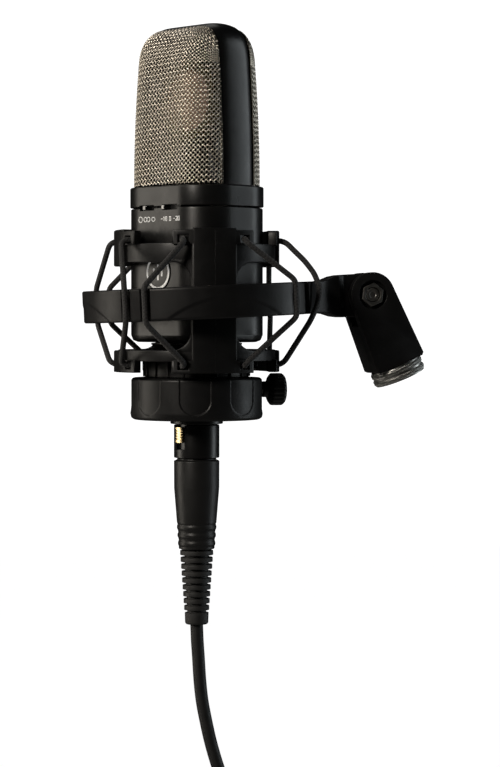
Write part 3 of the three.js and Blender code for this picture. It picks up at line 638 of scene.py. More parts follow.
def swept(name, path, radius, sides):
    """A round tube along points, with UV: along in millimetres, and once around."""
    slant = (0.3, 0.5, 0.81)  # a direction that no cord runs in
    ahead = unit(np.gradient(path, axis=0))
    side = unit(np.cross(ahead[0], slant))
    turns = np.arange(sides) * math.tau / sides
    rings = []
    for centre, tangent in zip(path, ahead):
        side = unit(side - tangent * side.dot(tangent))
        other = np.cross(tangent, side)
        ring = np.cos(turns)[:, None] * side + np.sin(turns)[:, None] * other
        rings.append(centre + radius * ring)
    obj = lattice(name, np.array(rings), caps=True)
    lengths = reached(path)
    layer = obj.data.uv_layers.new(name="along")
    for face in obj.data.polygons:
        base = None
        for loop in face.loop_indices:
            co = np.array(obj.data.vertices[obj.data.loops[loop].vertex_index].co)
            k = int(np.argmin(((path - co) ** 2).sum(1)))
            across = unit(np.cross(ahead[k], slant))
            off = co - path[k]
            angle = math.atan2(off.dot(np.cross(ahead[k], across)), off.dot(across)) / math.tau
            base = angle if base is None else base
            # keep a face's corners on one side of the seam
            angle -= round(angle - base)
            layer.data[loop].uv = (lengths[k], angle)
    return obj


def spline(points, count):
    """Evenly spaced points on a smooth curve through the given ones."""
    p = np.array(points, float)
    ends = np.vstack([2 * p[0] - p[1], p, 2 * p[-1] - p[-2]])
    out = []
    for i in range(1, len(ends) - 2):
        a, b, c, d = ends[i - 1], ends[i], ends[i + 1], ends[i + 2]
        for t in np.linspace(0, 1, 24, endpoint=False):
            out.append(
                0.5 * (2 * b + (c - a) * t + (2 * a - 5 * b + 4 * c - d) * t**2
                       + (3 * b - a - 3 * c + d) * t**3)
            )
    out.append(ends[-2])
    out = np.array(out)
    far = reached(out)
    want = np.linspace(0, far[-1], count)
    return np.stack([np.interp(want, far, out[:, k]) for k in range(3)], axis=1)


def put(
    obj, name, material, stands_for=None, place=MIC, body="microphone", angle=32
):
    """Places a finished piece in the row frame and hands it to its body."""
    obj.name = name
    moved(obj, place)
    smooth(obj, angle)
    obj.data.materials.clear()
    obj.data.materials.append(material)
    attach(obj, body)
    if stands_for:
        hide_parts(stands_for)
    return obj


# CAD nodes that keep their own shape and get a better material
DRESSED = (
    (INSERT_PLASTIC, "capsule_saddle", "foot_insert", "plug_insert"),
    (BODY_PAINT, "capsule_deck"),
    (GOLD, "contact_pin_1", "contact_pin_2", "contact_pin_3"),
    (BOARD_GREEN, "circuit_board"),
    (DULL_STEEL, "output_transformer", "cup_screw_1", "cup_screw_2", "clamp_screw",
     "collar_circlip"),
    (BLACK_RUBBER, "clamp_liner", "friction_washer_front", "friction_washer_rear"),
)


def dress_plain_nodes():
    for material, *names in DRESSED:
        for name in names:
            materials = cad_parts[name].data.materials
            materials.clear()
            materials.append(material)


dress_plain_nodes()

# ---------------------------------------------------------------- the lead

LEAD_DIAMETER = 5.4
LEAD_ROUTE = [
    (0, -0.3), (0.25, -7), (0.7, -13.6), (1.35, -23.8), (2.3, -32.5), (3.9, -41), (6.0, -50.3),
    (9.0, -60.5), (12.6, -70.4), (14.4, -75.4),
]
COIL = {"radius": 31.0, "across": -14.5, "height": -112.0, "back": 5.83}
TURN_PITCH = 5.83
TURNS_WIDE = 4
LAYERS = 4
FIRST_TURN = 1.0  # the lead starts one turn in from the bundle's side
JOIN_ANGLE = math.radians(20)  # where on the coil the lead runs in
TAIL_FORWARD = -17.5  # of the coil's middle plane
TAIL_END = -159.0
TAIL_ACROSS = COIL["across"] + 24.7
TAIL_BACK = COIL["back"] + TAIL_FORWARD


def coil_spot(travel):
    """(radius, distance along the coil's axis) after that many turns."""
    layer = min(int(travel // TURNS_WIDE), LAYERS - 1)
    within = travel - layer * TURNS_WIDE
    outward = (LAYERS - 1) / 2 - layer
    radius = COIL["radius"] + outward * TURN_PITCH
    rise = 0.25
    if layer > 0 and within < rise:
        radius += TURN_PITCH * (1 - math.sin(within / rise * math.pi / 2))
    wait = rise if layer > 0 else 0.0
    share = max(0.0, within - wait) / (TURNS_WIDE - wait)
    edge = TURNS_WIDE * TURN_PITCH / 2
    start = -edge if layer % 2 == 0 else edge
    return radius, start - 2 * start * share


def lead_path():
    """The lead's centreline, in its own plane: sideways, away, upward."""
    run = [(across, 0.0, height) for across, height in LEAD_ROUTE]
    centre = np.array([COIL["across"], COIL["back"], COIL["height"]])
    per_turn = 40
    turns = TURNS_WIDE * LAYERS - FIRST_TURN
    end_angle = math.radians(90)
    swept_turns = turns - ((JOIN_ANGLE - end_angle) / math.tau) % 1
    count = int(swept_turns * per_turn)
    coil = []
    for k in range(count + 1):
        travel = swept_turns * k / count
        radius, along = coil_spot(FIRST_TURN + travel)
        angle = JOIN_ANGLE - travel * math.tau
        coil.append(centre + (radius * math.cos(angle), along, radius * math.sin(angle)))
    last_radius, last_along = coil_spot(FIRST_TURN + swept_turns)
    last_angle = JOIN_ANGLE - swept_turns * math.tau
    leave = []
    for share in np.linspace(0.12, 1, 8):
        angle = last_angle - math.radians(64) * share
        along = last_along + (TAIL_FORWARD - last_along) * eased(share)
        leave.append(
            centre + (last_radius * math.cos(angle), along, last_radius * math.sin(angle))
        )
    heights = (-125.0, -134.0, -143.0, -151.0, TAIL_END)
    down = [(TAIL_ACROSS, TAIL_BACK, height) for height in heights]
    return np.vstack([run, coil, leave, down])


def make_lead():
    shape = spline(lead_path(), 1500)
    points = [LEAD @ Vector(p) for p in shape]
    data = bpy.data.curves.new("lead_cable", "CURVE")
    data.dimensions = "3D"
    data.bevel_depth = LEAD_DIAMETER / 2 * MM
    data.bevel_resolution = 4
    data.use_fill_caps = True
    line = data.splines.new("POLY")
    line.points.add(len(points) - 1)
    for spot, point in zip(line.points, points):
        spot.co = (*point, 1)
    line.use_smooth = True
    obj = added("lead_cable", data)
    data.materials.append(JACKET)
    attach(obj, "microphone")
    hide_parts("lead_run", "lead_coil", "lead_tail")
    length = sum((b - a).length for a, b in zip(points, points[1:]))
    return obj, points[0], length


lead, lead_start, lead_length = make_lead()

# ---------------------------------------------------------------- connectors


def three_bands(outline, top, radius, count):
    """Shallow ridges on a handle, as (radius, height) points going down."""
    for k in range(count):
        z = top - 3.4 * k
        r = radius - 0.22 * k
        outline += [(r, z), (r + 0.35, z - 0.8), (r + 0.35, z - 1.8), (r, z - 2.4)]


def near_plug():
    shell = revolve(
        "shell",
        [(6.9, -65.4), (9.6, -65.4), (9.6, -51.5), (7.75, -51.5), (7.75, -39.5), (6.9, -39.5)],
        128,
        0.45,
    )
    pocket = block("pocket", (-2.5, -20, -61.8), (2.5, -7.85, -51.2))
    combine(shell, pocket)
    put(shell, "plug_shell_tube", HOOP_PAINT, "plug_shell")

    tab = latch_tab()
    put(tab, "plug_latch_tab", GOLD, "plug_latch", body="plug_button", angle=25)

    grip = [(7.1, -65.7), (8.3, -65.7), (8.3, -66.2), (9.6, -66.7), (9.55, -78), (8.35, -92.9)]
    three_bands(grip, -93.4, 8.0, 3)
    grip += [(7.55, -103.8), (5.6, -103.8), (5.6, -87), (7.1, -86)]
    handle = revolve("grip", grip, 96, 0.3)
    put(handle, "plug_grip_handle", GRIP_PLASTIC, "plug_grip")
    relief = revolve("relief", relief_outline(), 72, 0.22)
    put(relief, "plug_strain_relief", BLACK_RUBBER, "plug_relief")


def latch_tab():
    """The ridged release tab: a plate with five bars across it."""
    parts = [block("plate", (-2.0, -9.9, -58.9), (2.0, -8.9, -52.3))]
    bars = [(-58.9, -57.5), (-57.0, -56.3), (-55.9, -55.2), (-54.8, -54.1), (-53.7, -52.3)]
    for low, high in bars:
        parts.append(block("bar", (-2.0, -10.3, low), (2.0, -9.7, high)))
    parts = [soften(part, 0.12) for part in parts]
    return gather("tab", parts)


def relief_outline():
    bore = 3.0
    outline = [(bore, -94), (5.2, -94), (5.2, -104.3)]
    for k in range(9):
        t = k / 8
        top = -104.5 - 2.9 * k
        fin, core = 7.0 - 1.7 * t, 5.2 - 1.2 * t
        outline += [(fin, top), (fin, top - 1.9), (core, top - 1.9), (core, top - 2.9)]
    outline += [(5.05, -130.7), (4.9, -135.0), (4.4, -135.6), (bore, -135.6)]
    return outline


def far_plug():
    place = LEAD @ Matrix.Translation((TAIL_ACROSS, TAIL_BACK, 0))
    relief = [(3.05, -159.3), (4.6, -159.3)]
    for k in range(7):
        top = -161.0 - 2.9 * k
        fin, core = 5.2 + 0.3 * k, 4.3 + 0.3 * k
        relief += [(core, top), (fin, top), (fin, top - 1.9), (core, top - 1.9)]
    relief += [(6.9, -184.7), (3.05, -184.7)]
    ribs = revolve("ribs", relief, 64, 0.2)
    grip = revolve(
        "grip",
        [(6.6, -185), (8.4, -185), (8.9, -187), (8.9, -203), (9.3, -204.7), (6.6, -204.7)],
        80,
        0.4,
    )
    shell = revolve(
        "shell",
        [(8.2, -227), (9.5, -227), (9.5, -208), (9.1, -207.4), (9.5, -206.8), (9.5, -205),
         (8.2, -205)],
        96,
        0.3,
    )
    pins = [slab("base", disc(7.9), -211, -207)]
    for angle in (-30, 90, 210):
        turn = math.radians(angle) - LEAD_TURN
        pin = revolve("pin", [(0, -225), (0.5, -225), (1.2, -224), (1.2, -209), (0, -209)], 20, 0.2,
                      closed=False)
        pins.append(moved(pin, Matrix.Translation((3.9 * math.cos(turn), 3.9 * math.sin(turn), 0))))
    insert = gather("insert", pins)
    made = [
        put(ribs, "far_plug_strain_relief", BLACK_RUBBER, "far_plug_relief", place),
        put(grip, "far_plug_grip_handle", GRIP_PLASTIC, "far_plug_grip", place),
        put(shell, "far_plug_shell_tube", HOOP_PAINT, "far_plug_shell", place),
        put(insert, "far_plug_pins", BRIGHT, "far_plug_insert", place),
    ]
    return made


def coil_tie():
    """A hook-and-loop strap round the bundle's outer side, with its end lapped over."""
    half = (11.8 + 1.2, 14.5 + 1.2, 3.6)
    strap = outline_loft("strap", half, [(0, -3.4), (0, 3.4), (1.0, 3.4), (1.0, -3.4)], 0.25)
    lap = block("lap", (-13.6, -7.0, -3.2), (-12.6, 5.0, 3.2))
    soften(lap, 0.3)
    whole = gather("tie", [strap, lap])
    place = LEAD @ Matrix.Translation(
        (COIL["across"] - COIL["radius"], COIL["back"], COIL["height"])
    )
    return put(whole, "lead_tie_strap", BLACK_RUBBER, "lead_tie", place)


near_plug()
on_lead = far_plug() + [coil_tie()]

# ---------------------------------------------------------------- head

HEAD_BOTTOM = 48.7
HEAD_TOP = 116.0
HEAD_FLAT = (10.8, 5.15)  # half of the flat part of the face, and of the side
SIDE_ROUND, ROOF_ROUND = 15.45, 17.0
CORNER_POWER = 3.2  # how square the head's upper corners are, seen from the front
HOOP_HALF = 8.4
HOOP_CROWN = 0.75
ROOF_START = HEAD_TOP - ROOF_ROUND


def outside_head(p, inset, crown=0.0):
    """True where points are outside the head's form, shrunk by an inset."""
    top = HEAD_TOP + crown * np.maximum(0, 1 - (p[..., 1] / HOOP_HALF) ** 2)
    lean = 1 - 0.13 * np.clip((p[..., 2] - HEAD_BOTTOM) / (HEAD_TOP - HEAD_BOTTOM), 0, 1) ** 2
    x = np.maximum(np.abs(p[..., 0]) / lean - HEAD_FLAT[0], 0) / (SIDE_ROUND - inset)
    y = np.maximum(np.abs(p[..., 1]) / lean - HEAD_FLAT[1], 0) / (SIDE_ROUND - inset)
    z = np.maximum(p[..., 2] - (top - ROOF_ROUND), 0) / (ROOF_ROUND - inset)
    return (x**CORNER_POWER + z**CORNER_POWER) ** (2 / CORNER_POWER) + y**2 > 1


def head_hit(origin, direction, inset, crown=0.0):
    """Where rays from inside the head reach its form."""
    low = np.zeros(origin.shape[:-1])
    high = np.full(origin.shape[:-1], 70.0)
    for _ in range(34):
        middle = (low + high) / 2
        out = outside_head(origin + direction * middle[..., None], inset, crown)
        high = np.where(out, middle, high)
        low = np.where(out, low, middle)
    return origin + direction * low[..., None]


def face_point(u, v, inset):
    """The front face's point at u sideways and v up, both measured along its surface."""
    aside = np.sign(u) * np.maximum(np.abs(u) - HEAD_FLAT[0], 0) / SIDE_ROUND
    up = np.maximum(v - ROOF_START, 0) / (ROOF_ROUND - 1)
    limit = math.radians(88)
    direction = np.stack(
        [np.tan(np.clip(aside, -limit, limit)), -np.ones_like(u), np.tan(np.clip(up, 0, limit))],
        axis=-1,
    )
    origin = np.stack(
        [np.clip(u, -HEAD_FLAT[0], HEAD_FLAT[0]), np.full_like(u, -HEAD_FLAT[1]),
         np.minimum(v, ROOF_START)],
        axis=-1,
    )
    return head_hit(origin, unit(direction), inset)


FACES = (("front", 0.0), ("rear", math.pi))
WIRE_PITCHES = (1.53, 1.39)  # of the two diagonal sets of wires
WIRE_RADIUS = 0.27
WEAVE_DEPTH = 0.27
GRILLE_INSET = 0.45


def wire_runs(family):
    """The centrelines of one diagonal set of wires on the front face."""
    pitch, other = WIRE_PITCHES[family], WIRE_PITCHES[1 - family]
    reach = 33.0
    low, high = HEAD_BOTTOM, ROOF_START + 27.0
    middle = (low + high) / 2
    far = 60.0
    runs = []
    for k in range(-int(far / pitch), int(far / pitch) + 1):
        across = k * pitch
        steps = np.arange(-2 * int(far / other), 2 * int(far / other) + 1)
        along = steps * other / 2
        # the two diagonals of the face
        u = (across + along) / math.sqrt(2)
        v = middle + (across - along) / math.sqrt(2)
        if family:
            u = -u
        keep = (np.abs(u) <= reach) & (v >= low) & (v <= high)
        if keep.sum() < 4:
            continue
        u, v, steps = u[keep], v[keep], steps[keep]
        point = face_point(u, v, GRILLE_INSET)
        # a wire is over at its even crossings and under at its odd ones
        sway = (1 - 2 * family) * WEAVE_DEPTH * np.cos(math.pi * (steps / 2 + k))
        du = face_point(u + 0.05, v, GRILLE_INSET) - point
        dv = face_point(u, v + 0.05, GRILLE_INSET) - point
        normal = unit(np.cross(du, dv))
        point = point + normal * sway[:, None]
        good = point[:, 1] <= -(HOOP_HALF + 0.3)
        ends = np.flatnonzero(np.diff(np.concatenate([[0], good, [0]])))
        for first, last in ends.reshape(-1, 2):
            if last - first > 2:
                runs.append((point[first:last], normal[first:last], sway[first:last]))
    return runs


def tube_mesh(runs, radius, sides=8):
    """All the wires as one set of points, faces, and how far out of the cloth each point lies."""
    points, faces, lifts = [], [], []
    base = 0
    turns = np.arange(sides) * math.tau / sides
    for run, normal, sway in runs:
        ahead = unit(np.gradient(run, axis=0))
        side = unit(np.cross(ahead, normal))
        out = np.cross(side, ahead)
        ring = run[:, None, :] + radius * (
            np.cos(turns)[None, :, None] * side[:, None, :]
            + np.sin(turns)[None, :, None] * out[:, None, :]
        )
        points.append(ring.reshape(-1, 3))
        lifts.append((sway[:, None] + radius * np.sin(turns)[None, :]).ravel())
        tube = grid_faces(len(run), sides, False, True)
        faces += [tuple(base + corner for corner in face) for face in tube]
        base += len(run) * sides
    lift = np.concatenate(lifts) / (radius + WEAVE_DEPTH)
    return np.vstack(points), faces, lift / 2 + 0.5


def edge_line(inset, aside, crown=0.0):
    """A line round the head at one distance from its middle: up a side, over and down."""
    start = 98.0
    rays = [(1.0, 0.0, z) for z in np.linspace(HEAD_BOTTOM, start, 24, endpoint=False)]
    for angle in np.linspace(0, math.pi, 73):
        rays.append((math.cos(angle), math.sin(angle), start))
    rays += [(-1.0, 0.0, z) for z in np.linspace(HEAD_BOTTOM, start, 24, endpoint=False)[::-1]]
    origin = np.array([(0.0, aside, z) for _, _, z in rays])
    direction = np.array([(x, 0.0, up) for x, up, _ in rays])
    return head_hit(origin, direction, inset, crown)


def edge_strip(name, section, crown=0.0):
    """A strip round the head, from a section of (inset, distance from the middle) points."""
    rows = np.array([edge_line(inset, aside, crown) for inset, aside in section])
    return lattice(name, np.swapaxes(rows, 0, 1), close_columns=True, caps=True)


def grille_rim():
    """The folded edge of the wire cloth, next to the hoop; its dark colour is painted shade."""
    near = -(HOOP_HALF + 0.28)
    return edge_strip("rim", [
        (1.0, near), (0.3, near), (0.12, near - 0.12), (0.06, near - 0.4), (0.1, near - 0.8),
        (0.3, near - 1.0), (0.9, near - 1.0),
    ])


def woven_grille():
    """Front and rear wire cloth; the rear one is the front one turned half round."""
    points, faces, lift = tube_mesh(wire_runs(0) + wire_runs(1), WIRE_RADIUS)
    for word, turn in FACES:
        mesh = bpy.data.meshes.new("cloth")
        mesh.from_pydata([tuple(p) for p in points], [], faces)
        corners = np.empty(len(mesh.loops), dtype=np.int32)
        mesh.loops.foreach_get("vertex_index", corners)
        uv = np.zeros((len(corners), 2), dtype=np.float32)
        # the lift drives the wire's painted shade: low lift is painted dark in its material
        uv[:, 0] = lift[corners]
        mesh.uv_layers.new(name="lift").data.foreach_set("uv", uv.ravel())
        cloth = added("cloth", mesh)
        place = MIC @ turn_z(turn)
        put(cloth, f"{word}_wire_cloth", GRILLE_WIRE, f"grille_{word}", place, angle=75)
        put(grille_rim(), f"{word}_cloth_rim", CLOTH_RIM_SHADE, place=place)


def head_hoop():
    """The black band over the sides and roof, with a slightly crowned outside."""
    half = HOOP_HALF
    section = [(2.2, -half), (1.0, -half), (0.72, -half + 0.12), (0.6, -half + 0.45)]
    section += [(0.5 * (k / 6) ** 2, half * k / 6) for k in range(-5, 6)]
    section += [(0.6, half - 0.45), (0.72, half - 0.12), (1.0, half), (2.2, half)]
    hoop = edge_strip("hoop", section, HOOP_CROWN)
    put(hoop, "head_hoop_band", HOOP_PAINT, "head_hoop", angle=40)


def inner_screen():
    """The fine screen just inside the wire cloth, closed over the top."""
    inset, waist = 2.6, 96.0
    turns = np.arange(128) * math.tau / 128
    flat = np.stack([np.cos(turns), np.sin(turns), np.zeros_like(turns)], axis=-1)
    rows = []
    for z in np.linspace(HEAD_BOTTOM + 0.5, waist, 20, endpoint=False):
        rows.append(head_hit(np.array([0, 0, z]) + 0 * flat, flat, inset))
    for tip in np.radians(np.linspace(0, 88, 26)):
        aim = flat * math.cos(tip) + np.array([0, 0, math.sin(tip)])
        rows.append(head_hit(np.array([0, 0, waist]) + 0 * flat, aim, inset))
    screen = lattice("screen", np.array(rows), caps=True)
    put(screen, "inner_screen_shell", SCREEN, "inner_screen", angle=60)


woven_grille()
head_hoop()
inner_screen()

# ---------------------------------------------------------------- capsule

CAPSULE_HEIGHT = 85.0


def capsule():
    place = MIC @ Matrix.Translation((0, 0, CAPSULE_HEIGHT))
    for word, turn in FACES:
        parts = [lay_along_y(revolve(
            "ring", [(12.9, 3.5), (17.0, 3.5), (17.0, 5.3), (12.9, 5.3)], 96, 0.3))]
        for k in range(12):
            angle = math.tau * (k + 0.5) / 12
            head = revolve("head", [(0, 5.2), (0.95, 5.2), (0.95, 5.9), (0, 5.9)], 20, 0.15,
                           closed=False)
            offset = Matrix.Translation((15.0 * math.cos(angle), 15.0 * math.sin(angle), 0))
            parts.append(lay_along_y(moved(head, offset)))
        ring = gather("ring", parts)
        flip = turn_z(turn)
        put(ring, f"capsule_{word}_clamp_ring", BRASS, f"capsule_ring_{word}", place @ flip)
        film = lay_along_y(revolve(
            "film", [(0, 3.55), (12.5, 3.55), (12.5, 3.75), (1.9, 3.75), (1.7, 4.3), (0, 4.3)],
            72, 0.08, closed=False))
        put(film, f"diaphragm_{word}_film", GLOWING_FILM, f"diaphragm_{word}", place @ flip)
    body = revolve(
        "body",
        [(0, -3.2), (16.5, -3.2), (16.5, -0.5), (15.9, 0), (16.5, 0.5), (16.5, 3.2), (0, 3.2)],
        96, 0.2, closed=False)
    put(lay_along_y(body), "capsule_backplate", BRASS, "capsule_body", place)


capsule()

# ---------------------------------------------------------------- body

COLLAR_HALF = (27.6, 21.8, 16.0)
BODY_HALF = (27.3, 21.6, 16.0)
FRONT_FACE = -BODY_HALF[1]
SWITCHES = {"pattern": (-7.2, -7.2), "pad": (7.2, 4.4)}  # slot's middle, knob's place
SWITCH_HEIGHT = 39.4
MARKS_HEIGHT = 34.6
BADGE_HEIGHT = 12.4


def switch_slot(middle):
    low, high = SWITCH_HEIGHT - 1.2, SWITCH_HEIGHT + 1.2
    return block("slot", (middle - 4.6, -40, low), (middle + 4.6, -19.2, high))


def neck_and_body():
    collar = outline_loft(
        "collar", COLLAR_HALF,
        [(0, 40.0), (0, 48.0), (0.5, 48.4), (3.0, 48.4), (3.0, 39.9), (0.4, 39.9)], 0.35)
    body = outline_loft(
        "body", BODY_HALF,
        [(0.3, 39.4), (0, 39.0), (0, -13.7), (0.9, -15.9), (3.0, -16.7), (10, -16.7),
         (10, -14.9), (1.8, -14.9), (1.8, 39.4)], 0.35)
    seat = lay_along_y(slab("seat", disc(7.8, 64), 21.1, 40))
    moved(seat, Matrix.Translation((0, 0, BADGE_HEIGHT)))
    combine(body, seat)
    for middle, _ in SWITCHES.values():
        combine(collar, switch_slot(middle))
        combine(body, switch_slot(middle))
    put(collar, "neck_collar_ring", BODY_PAINT, "neck_collar")
    put(body, "body_housing_shell", BODY_PAINT, "body_housing")


def switch_knobs():
    for word, (middle, place) in SWITCHES.items():
        knob = block("knob", (place - 1.2, -23.2, 38.45), (place + 1.2, -18.2, 40.35))
        soften(knob, 0.3, 3)
        put(knob, f"{word}_switch_tip", DARK_CHROME, f"{word}_switch", body=f"{word}_slider")
        track = block("track", (middle - 4.5, -19.8, 38.3), (middle + 4.5, -19.4, 40.5))
        put(track, f"{word}_switch_track", KNOB_PLASTIC)


def ink_line(points, x, z, width=0.34, closed=False):
    """A thin printed stroke on the front face, through (sideways, up) points."""
    line = [np.array(p, float) for p in points]
    if closed:
        line.append(line[0])
    strokes = []
    for a, b in zip(line, line[1:]):
        along = (b - a) / np.linalg.norm(b - a)
        side = np.array([-along[1], along[0]]) * width / 2
        a, b = a - along * width * 0.3, b + along * width * 0.3
        corners = [a + side, b + side, b - side, a - side]
        front = [(x + c[0], FRONT_FACE - 0.03, z + c[1]) for c in corners]
        back = [(x + c[0], FRONT_FACE + 0.1, z + c[1]) for c in corners]
        strokes.append(raw("stroke", front + back, [
            (0, 1, 2, 3), (7, 6, 5, 4), (0, 4, 5, 1), (1, 5, 6, 2), (2, 6, 7, 3), (3, 7, 4, 0)]))
    return strokes


DIGITS = {
    "0": [[(-0.5, 0.8), (0.5, 0.8), (0.5, -0.8), (-0.5, -0.8), (-0.5, 0.8)]],
    "1": [[(-0.3, 0.5), (0.1, 0.8), (0.1, -0.8)]],
    "2": [[(-0.5, 0.8), (0.5, 0.8), (0.5, 0), (-0.5, -0.8), (0.5, -0.8)]],
    "-": [[(-0.4, 0), (0.4, 0)]],
}


def printed_marks():
    """Plain pictograms for three pickup patterns, and the numbers of the level switch."""
    marks = []
    marks += ink_line(disc(1.15, 18), -11.2, MARKS_HEIGHT, closed=True)
    marks += ink_line(disc(0.95, 18, -0.95), -7.2, MARKS_HEIGHT, closed=True)
    marks += ink_line(disc(0.95, 18, 0.95), -7.2, MARKS_HEIGHT, closed=True)
    heart = []
    for k in range(24):
        angle = math.tau * k / 24
        r = 0.75 * (1 + math.cos(angle))
        heart.append((r * math.sin(angle), 0.6 - r * math.cos(angle)))
    marks += ink_line(heart, -3.2, MARKS_HEIGHT, closed=True)
    for word, middle in (("-10", 3.4), ("0", 7.2), ("-20", 11.0)):
        for k, sign in enumerate(word):
            x = middle + (k - (len(word) - 1) / 2) * 1.35
            for stroke in DIGITS[sign]:
                scaled = [(0.85 * a, b) for a, b in stroke]
                marks += ink_line(scaled, x, MARKS_HEIGHT, 0.3)
    ink = gather("marks", marks)
    put(ink, "switch_marks", GLOWING_WHITE_INK)


def badge():
    """A plain dark disc with a pale raised ring and three plain level bars."""
    face = revolve(
        "badge",
        [(0, 21.3), (7.5, 21.3), (7.5, 21.8), (7.3, 21.95), (0, 21.95)], 96, 0.12, closed=False)
    moved(lay_along_y(face), Matrix.Translation((0, 0, BADGE_HEIGHT)))
    put(face, "badge_disc", HOOP_PAINT, "badge_plate")
    ring = revolve("ring", [(6.1, 21.8), (7.1, 21.8), (7.1, 22.05), (6.1, 22.05)], 96, 0.08)
    marks = [lay_along_y(ring)]
    for aside, half in ((-2.4, 1.7), (0.0, 3.3), (2.4, 1.7)):
        bar = block("bar", (aside - 0.5, -22.02, -half), (aside + 0.5, -21.8, half))
        marks.append(soften(bar, 0.1))
    for mark in marks:
        moved(mark, Matrix.Translation((0, 0, BADGE_HEIGHT)))
    put(gather("marks", marks), "badge_ring_and_bars", GLOWING_WHITE_INK)


def foot():
    shape = revolve(
        "foot",
        [(8.2, -51.1), (11.1, -51.1), (11.1, -24), (12.8, -23.6), (19.2, -17.6), (19.2, -17.0),
         (13.6, -17.0), (13.6, -13), (6.5, -13), (6.5, -34.2), (8.2, -34.2)],
        96, 0.4)
    put(shape, "mic_foot_stub", HOOP_PAINT, "mic_foot")


neck_and_body()
switch_knobs()
printed_marks()
badge()
foot()

# ---------------------------------------------------------------- cage

WALL_IN, WALL_OUT, PLATE_OUT = 29.4, 33.2, 34.9
BAND_TOP, BAND_BOTTOM = 24.2, -24.5
WINDOW_TOP, WINDOW_BOTTOM = 16.4, -19.8
PILLAR_HALF, PILLAR_TOP, PILLAR_BOTTOM = 9.6, 30.3, -29.2
CORNER = 8.0  # radius of the windows' corners
HOOK_HALF, HOOK_TOP, HOOK_IN = 17.4, 29.5, 31.2
SLOT = (11.0, 15.0)


def plate(outline, inner, outer, holes=(), edge=0.5):
    """An outline of (sideways, up) points, softened and wrapped round the cage."""

    def unrolled(x):
        return inner * math.asin(x / outer)

    flat = slab("plate", [(unrolled(x), z) for x, z in outline], 0, outer - inner)
    # outline X stays sideways, its Y becomes up, and the push becomes outward
    moved(flat, Matrix(((1, 0, 0, 0), (0, 0, 1, 0), (0, 1, 0, 0), (0, 0, 0, 1))))
    for low, high in holes:
        tool = block("hole", (unrolled(low[0]), -5, low[1]), (unrolled(high[0]), 20, high[1]))
        combine(flat, tool)
    soften(flat, edge, 3, 40)
    return bent(flat, inner)


def panel(half, low, high, inner, outer=PLATE_OUT, holes=(), edge=0.7):
    corners = [(-half, low), (half, low), (half, high), (-half, high)]
    return plate(corners, inner, outer, holes, edge)


def pillar_outline():
    """A full pillar between the bands: its sides sweep out in round corners to meet them."""
    right = [(PILLAR_HALF + CORNER, WINDOW_BOTTOM - 1.5)]
    for middle, start in ((WINDOW_BOTTOM + CORNER, -math.pi / 2), (WINDOW_TOP - CORNER, -math.pi)):
        right += arc(PILLAR_HALF + CORNER, middle, CORNER, start, -math.pi / 2, 14)
    right.append((PILLAR_HALF + CORNER, WINDOW_TOP + 1.5))
    return right + [(-x, z) for x, z in reversed(right)]


def hook_arms():
    """The slotted arms above and below the bands, that the elastic cords hook into."""
    above, below = [], []
    for side in (-1, 1):
        near, far = sorted((side * SLOT[0], side * SLOT[1]))
        above.append(((near, BAND_TOP + 0.1), (far, HOOK_TOP - 2.1)))
        below.append(((near, PILLAR_BOTTOM + 1.5), (far, BAND_BOTTOM - 0.1)))
    return [
        panel(HOOK_HALF, BAND_TOP - 0.5, HOOK_TOP, HOOK_IN, holes=above),
        panel(HOOK_HALF, PILLAR_BOTTOM, BAND_BOTTOM + 0.5, HOOK_IN, holes=below),
    ]


def full_pillar():
    """A pillar joining the bands, with a raised strip and a fine line up its middle."""
    return [
        plate(pillar_outline(), WALL_IN, WALL_OUT),
        panel(PILLAR_HALF, PILLAR_BOTTOM, PILLAR_TOP, WALL_IN),
        panel(0.16, PILLAR_BOTTOM + 0.4, PILLAR_TOP - 0.4, PLATE_OUT - 0.4, PLATE_OUT + 0.07,
              edge=0.05),
    ]


def stubs():
    """The short plates that stand in for a pillar at the arm's side and at the outer side."""
    return [
        panel(PILLAR_HALF, 15.1, PILLAR_TOP, WALL_IN),
        panel(PILLAR_HALF, PILLAR_BOTTOM, WINDOW_BOTTOM - 0.3, WALL_IN),
    ]


def cage_neck():
    """The neck below the floor, with fine upright ribs."""
    neck = revolve("neck", [(13.6, -31.3), (22, -31.3), (22, -24), (13.6, -24)], 96, 0.4)
    ribs = [
        moved(soften(block("rib", (21.6, -0.5, -31.1), (22.7, 0.5, -24.2)), 0.25),
              turn_z(math.tau * (k + 0.5) / 20))
        for k in range(20)
    ]
    return [neck, *ribs]


def cage_basket():
    parts = [
        revolve("band", [(WALL_IN, low), (WALL_OUT, low), (WALL_OUT, high), (WALL_IN, high)], 192, 0.6)
        for low, high in ((WINDOW_TOP, BAND_TOP), (BAND_BOTTOM, WINDOW_BOTTOM))
    ]
    parts.append(revolve("floor", [(16, -24.4), (33.0, -24.4), (33.0, -21.9), (16, -21.9)], 128, 0.4))
    parts += cage_neck()
    for angle, made in ((0, stubs), (90, full_pillar), (180, stubs), (270, full_pillar)):
        for part in made() + hook_arms():
            parts.append(moved(part, turn_z(math.radians(angle))))
    whole = gather("basket", parts)
    put(whole, "cage_basket_frame", CAGE_PLASTIC, "cage_basket", HUNG, "cage")


PETAL_CENTRE = -104.0  # degrees; the petals repeat every 45
PETAL_HALF = 13.6
PETAL_BOTTOM = -46.8


def petal_depth(angle, z):
    """How deep the cup's wall is dished at an angle and height: eight U-shaped petals."""
    off = (angle - PETAL_CENTRE + 22.5) % 45 - 22.5
    side = off / PETAL_HALF
    bend = -40.5
    drop = max(0.0, (bend - z) / (bend - PETAL_BOTTOM))
    inside = 1 - math.hypot(side, drop) if z < bend else 1 - abs(side)
    return 0.42 * eased(inside / 0.07 + 0.5)


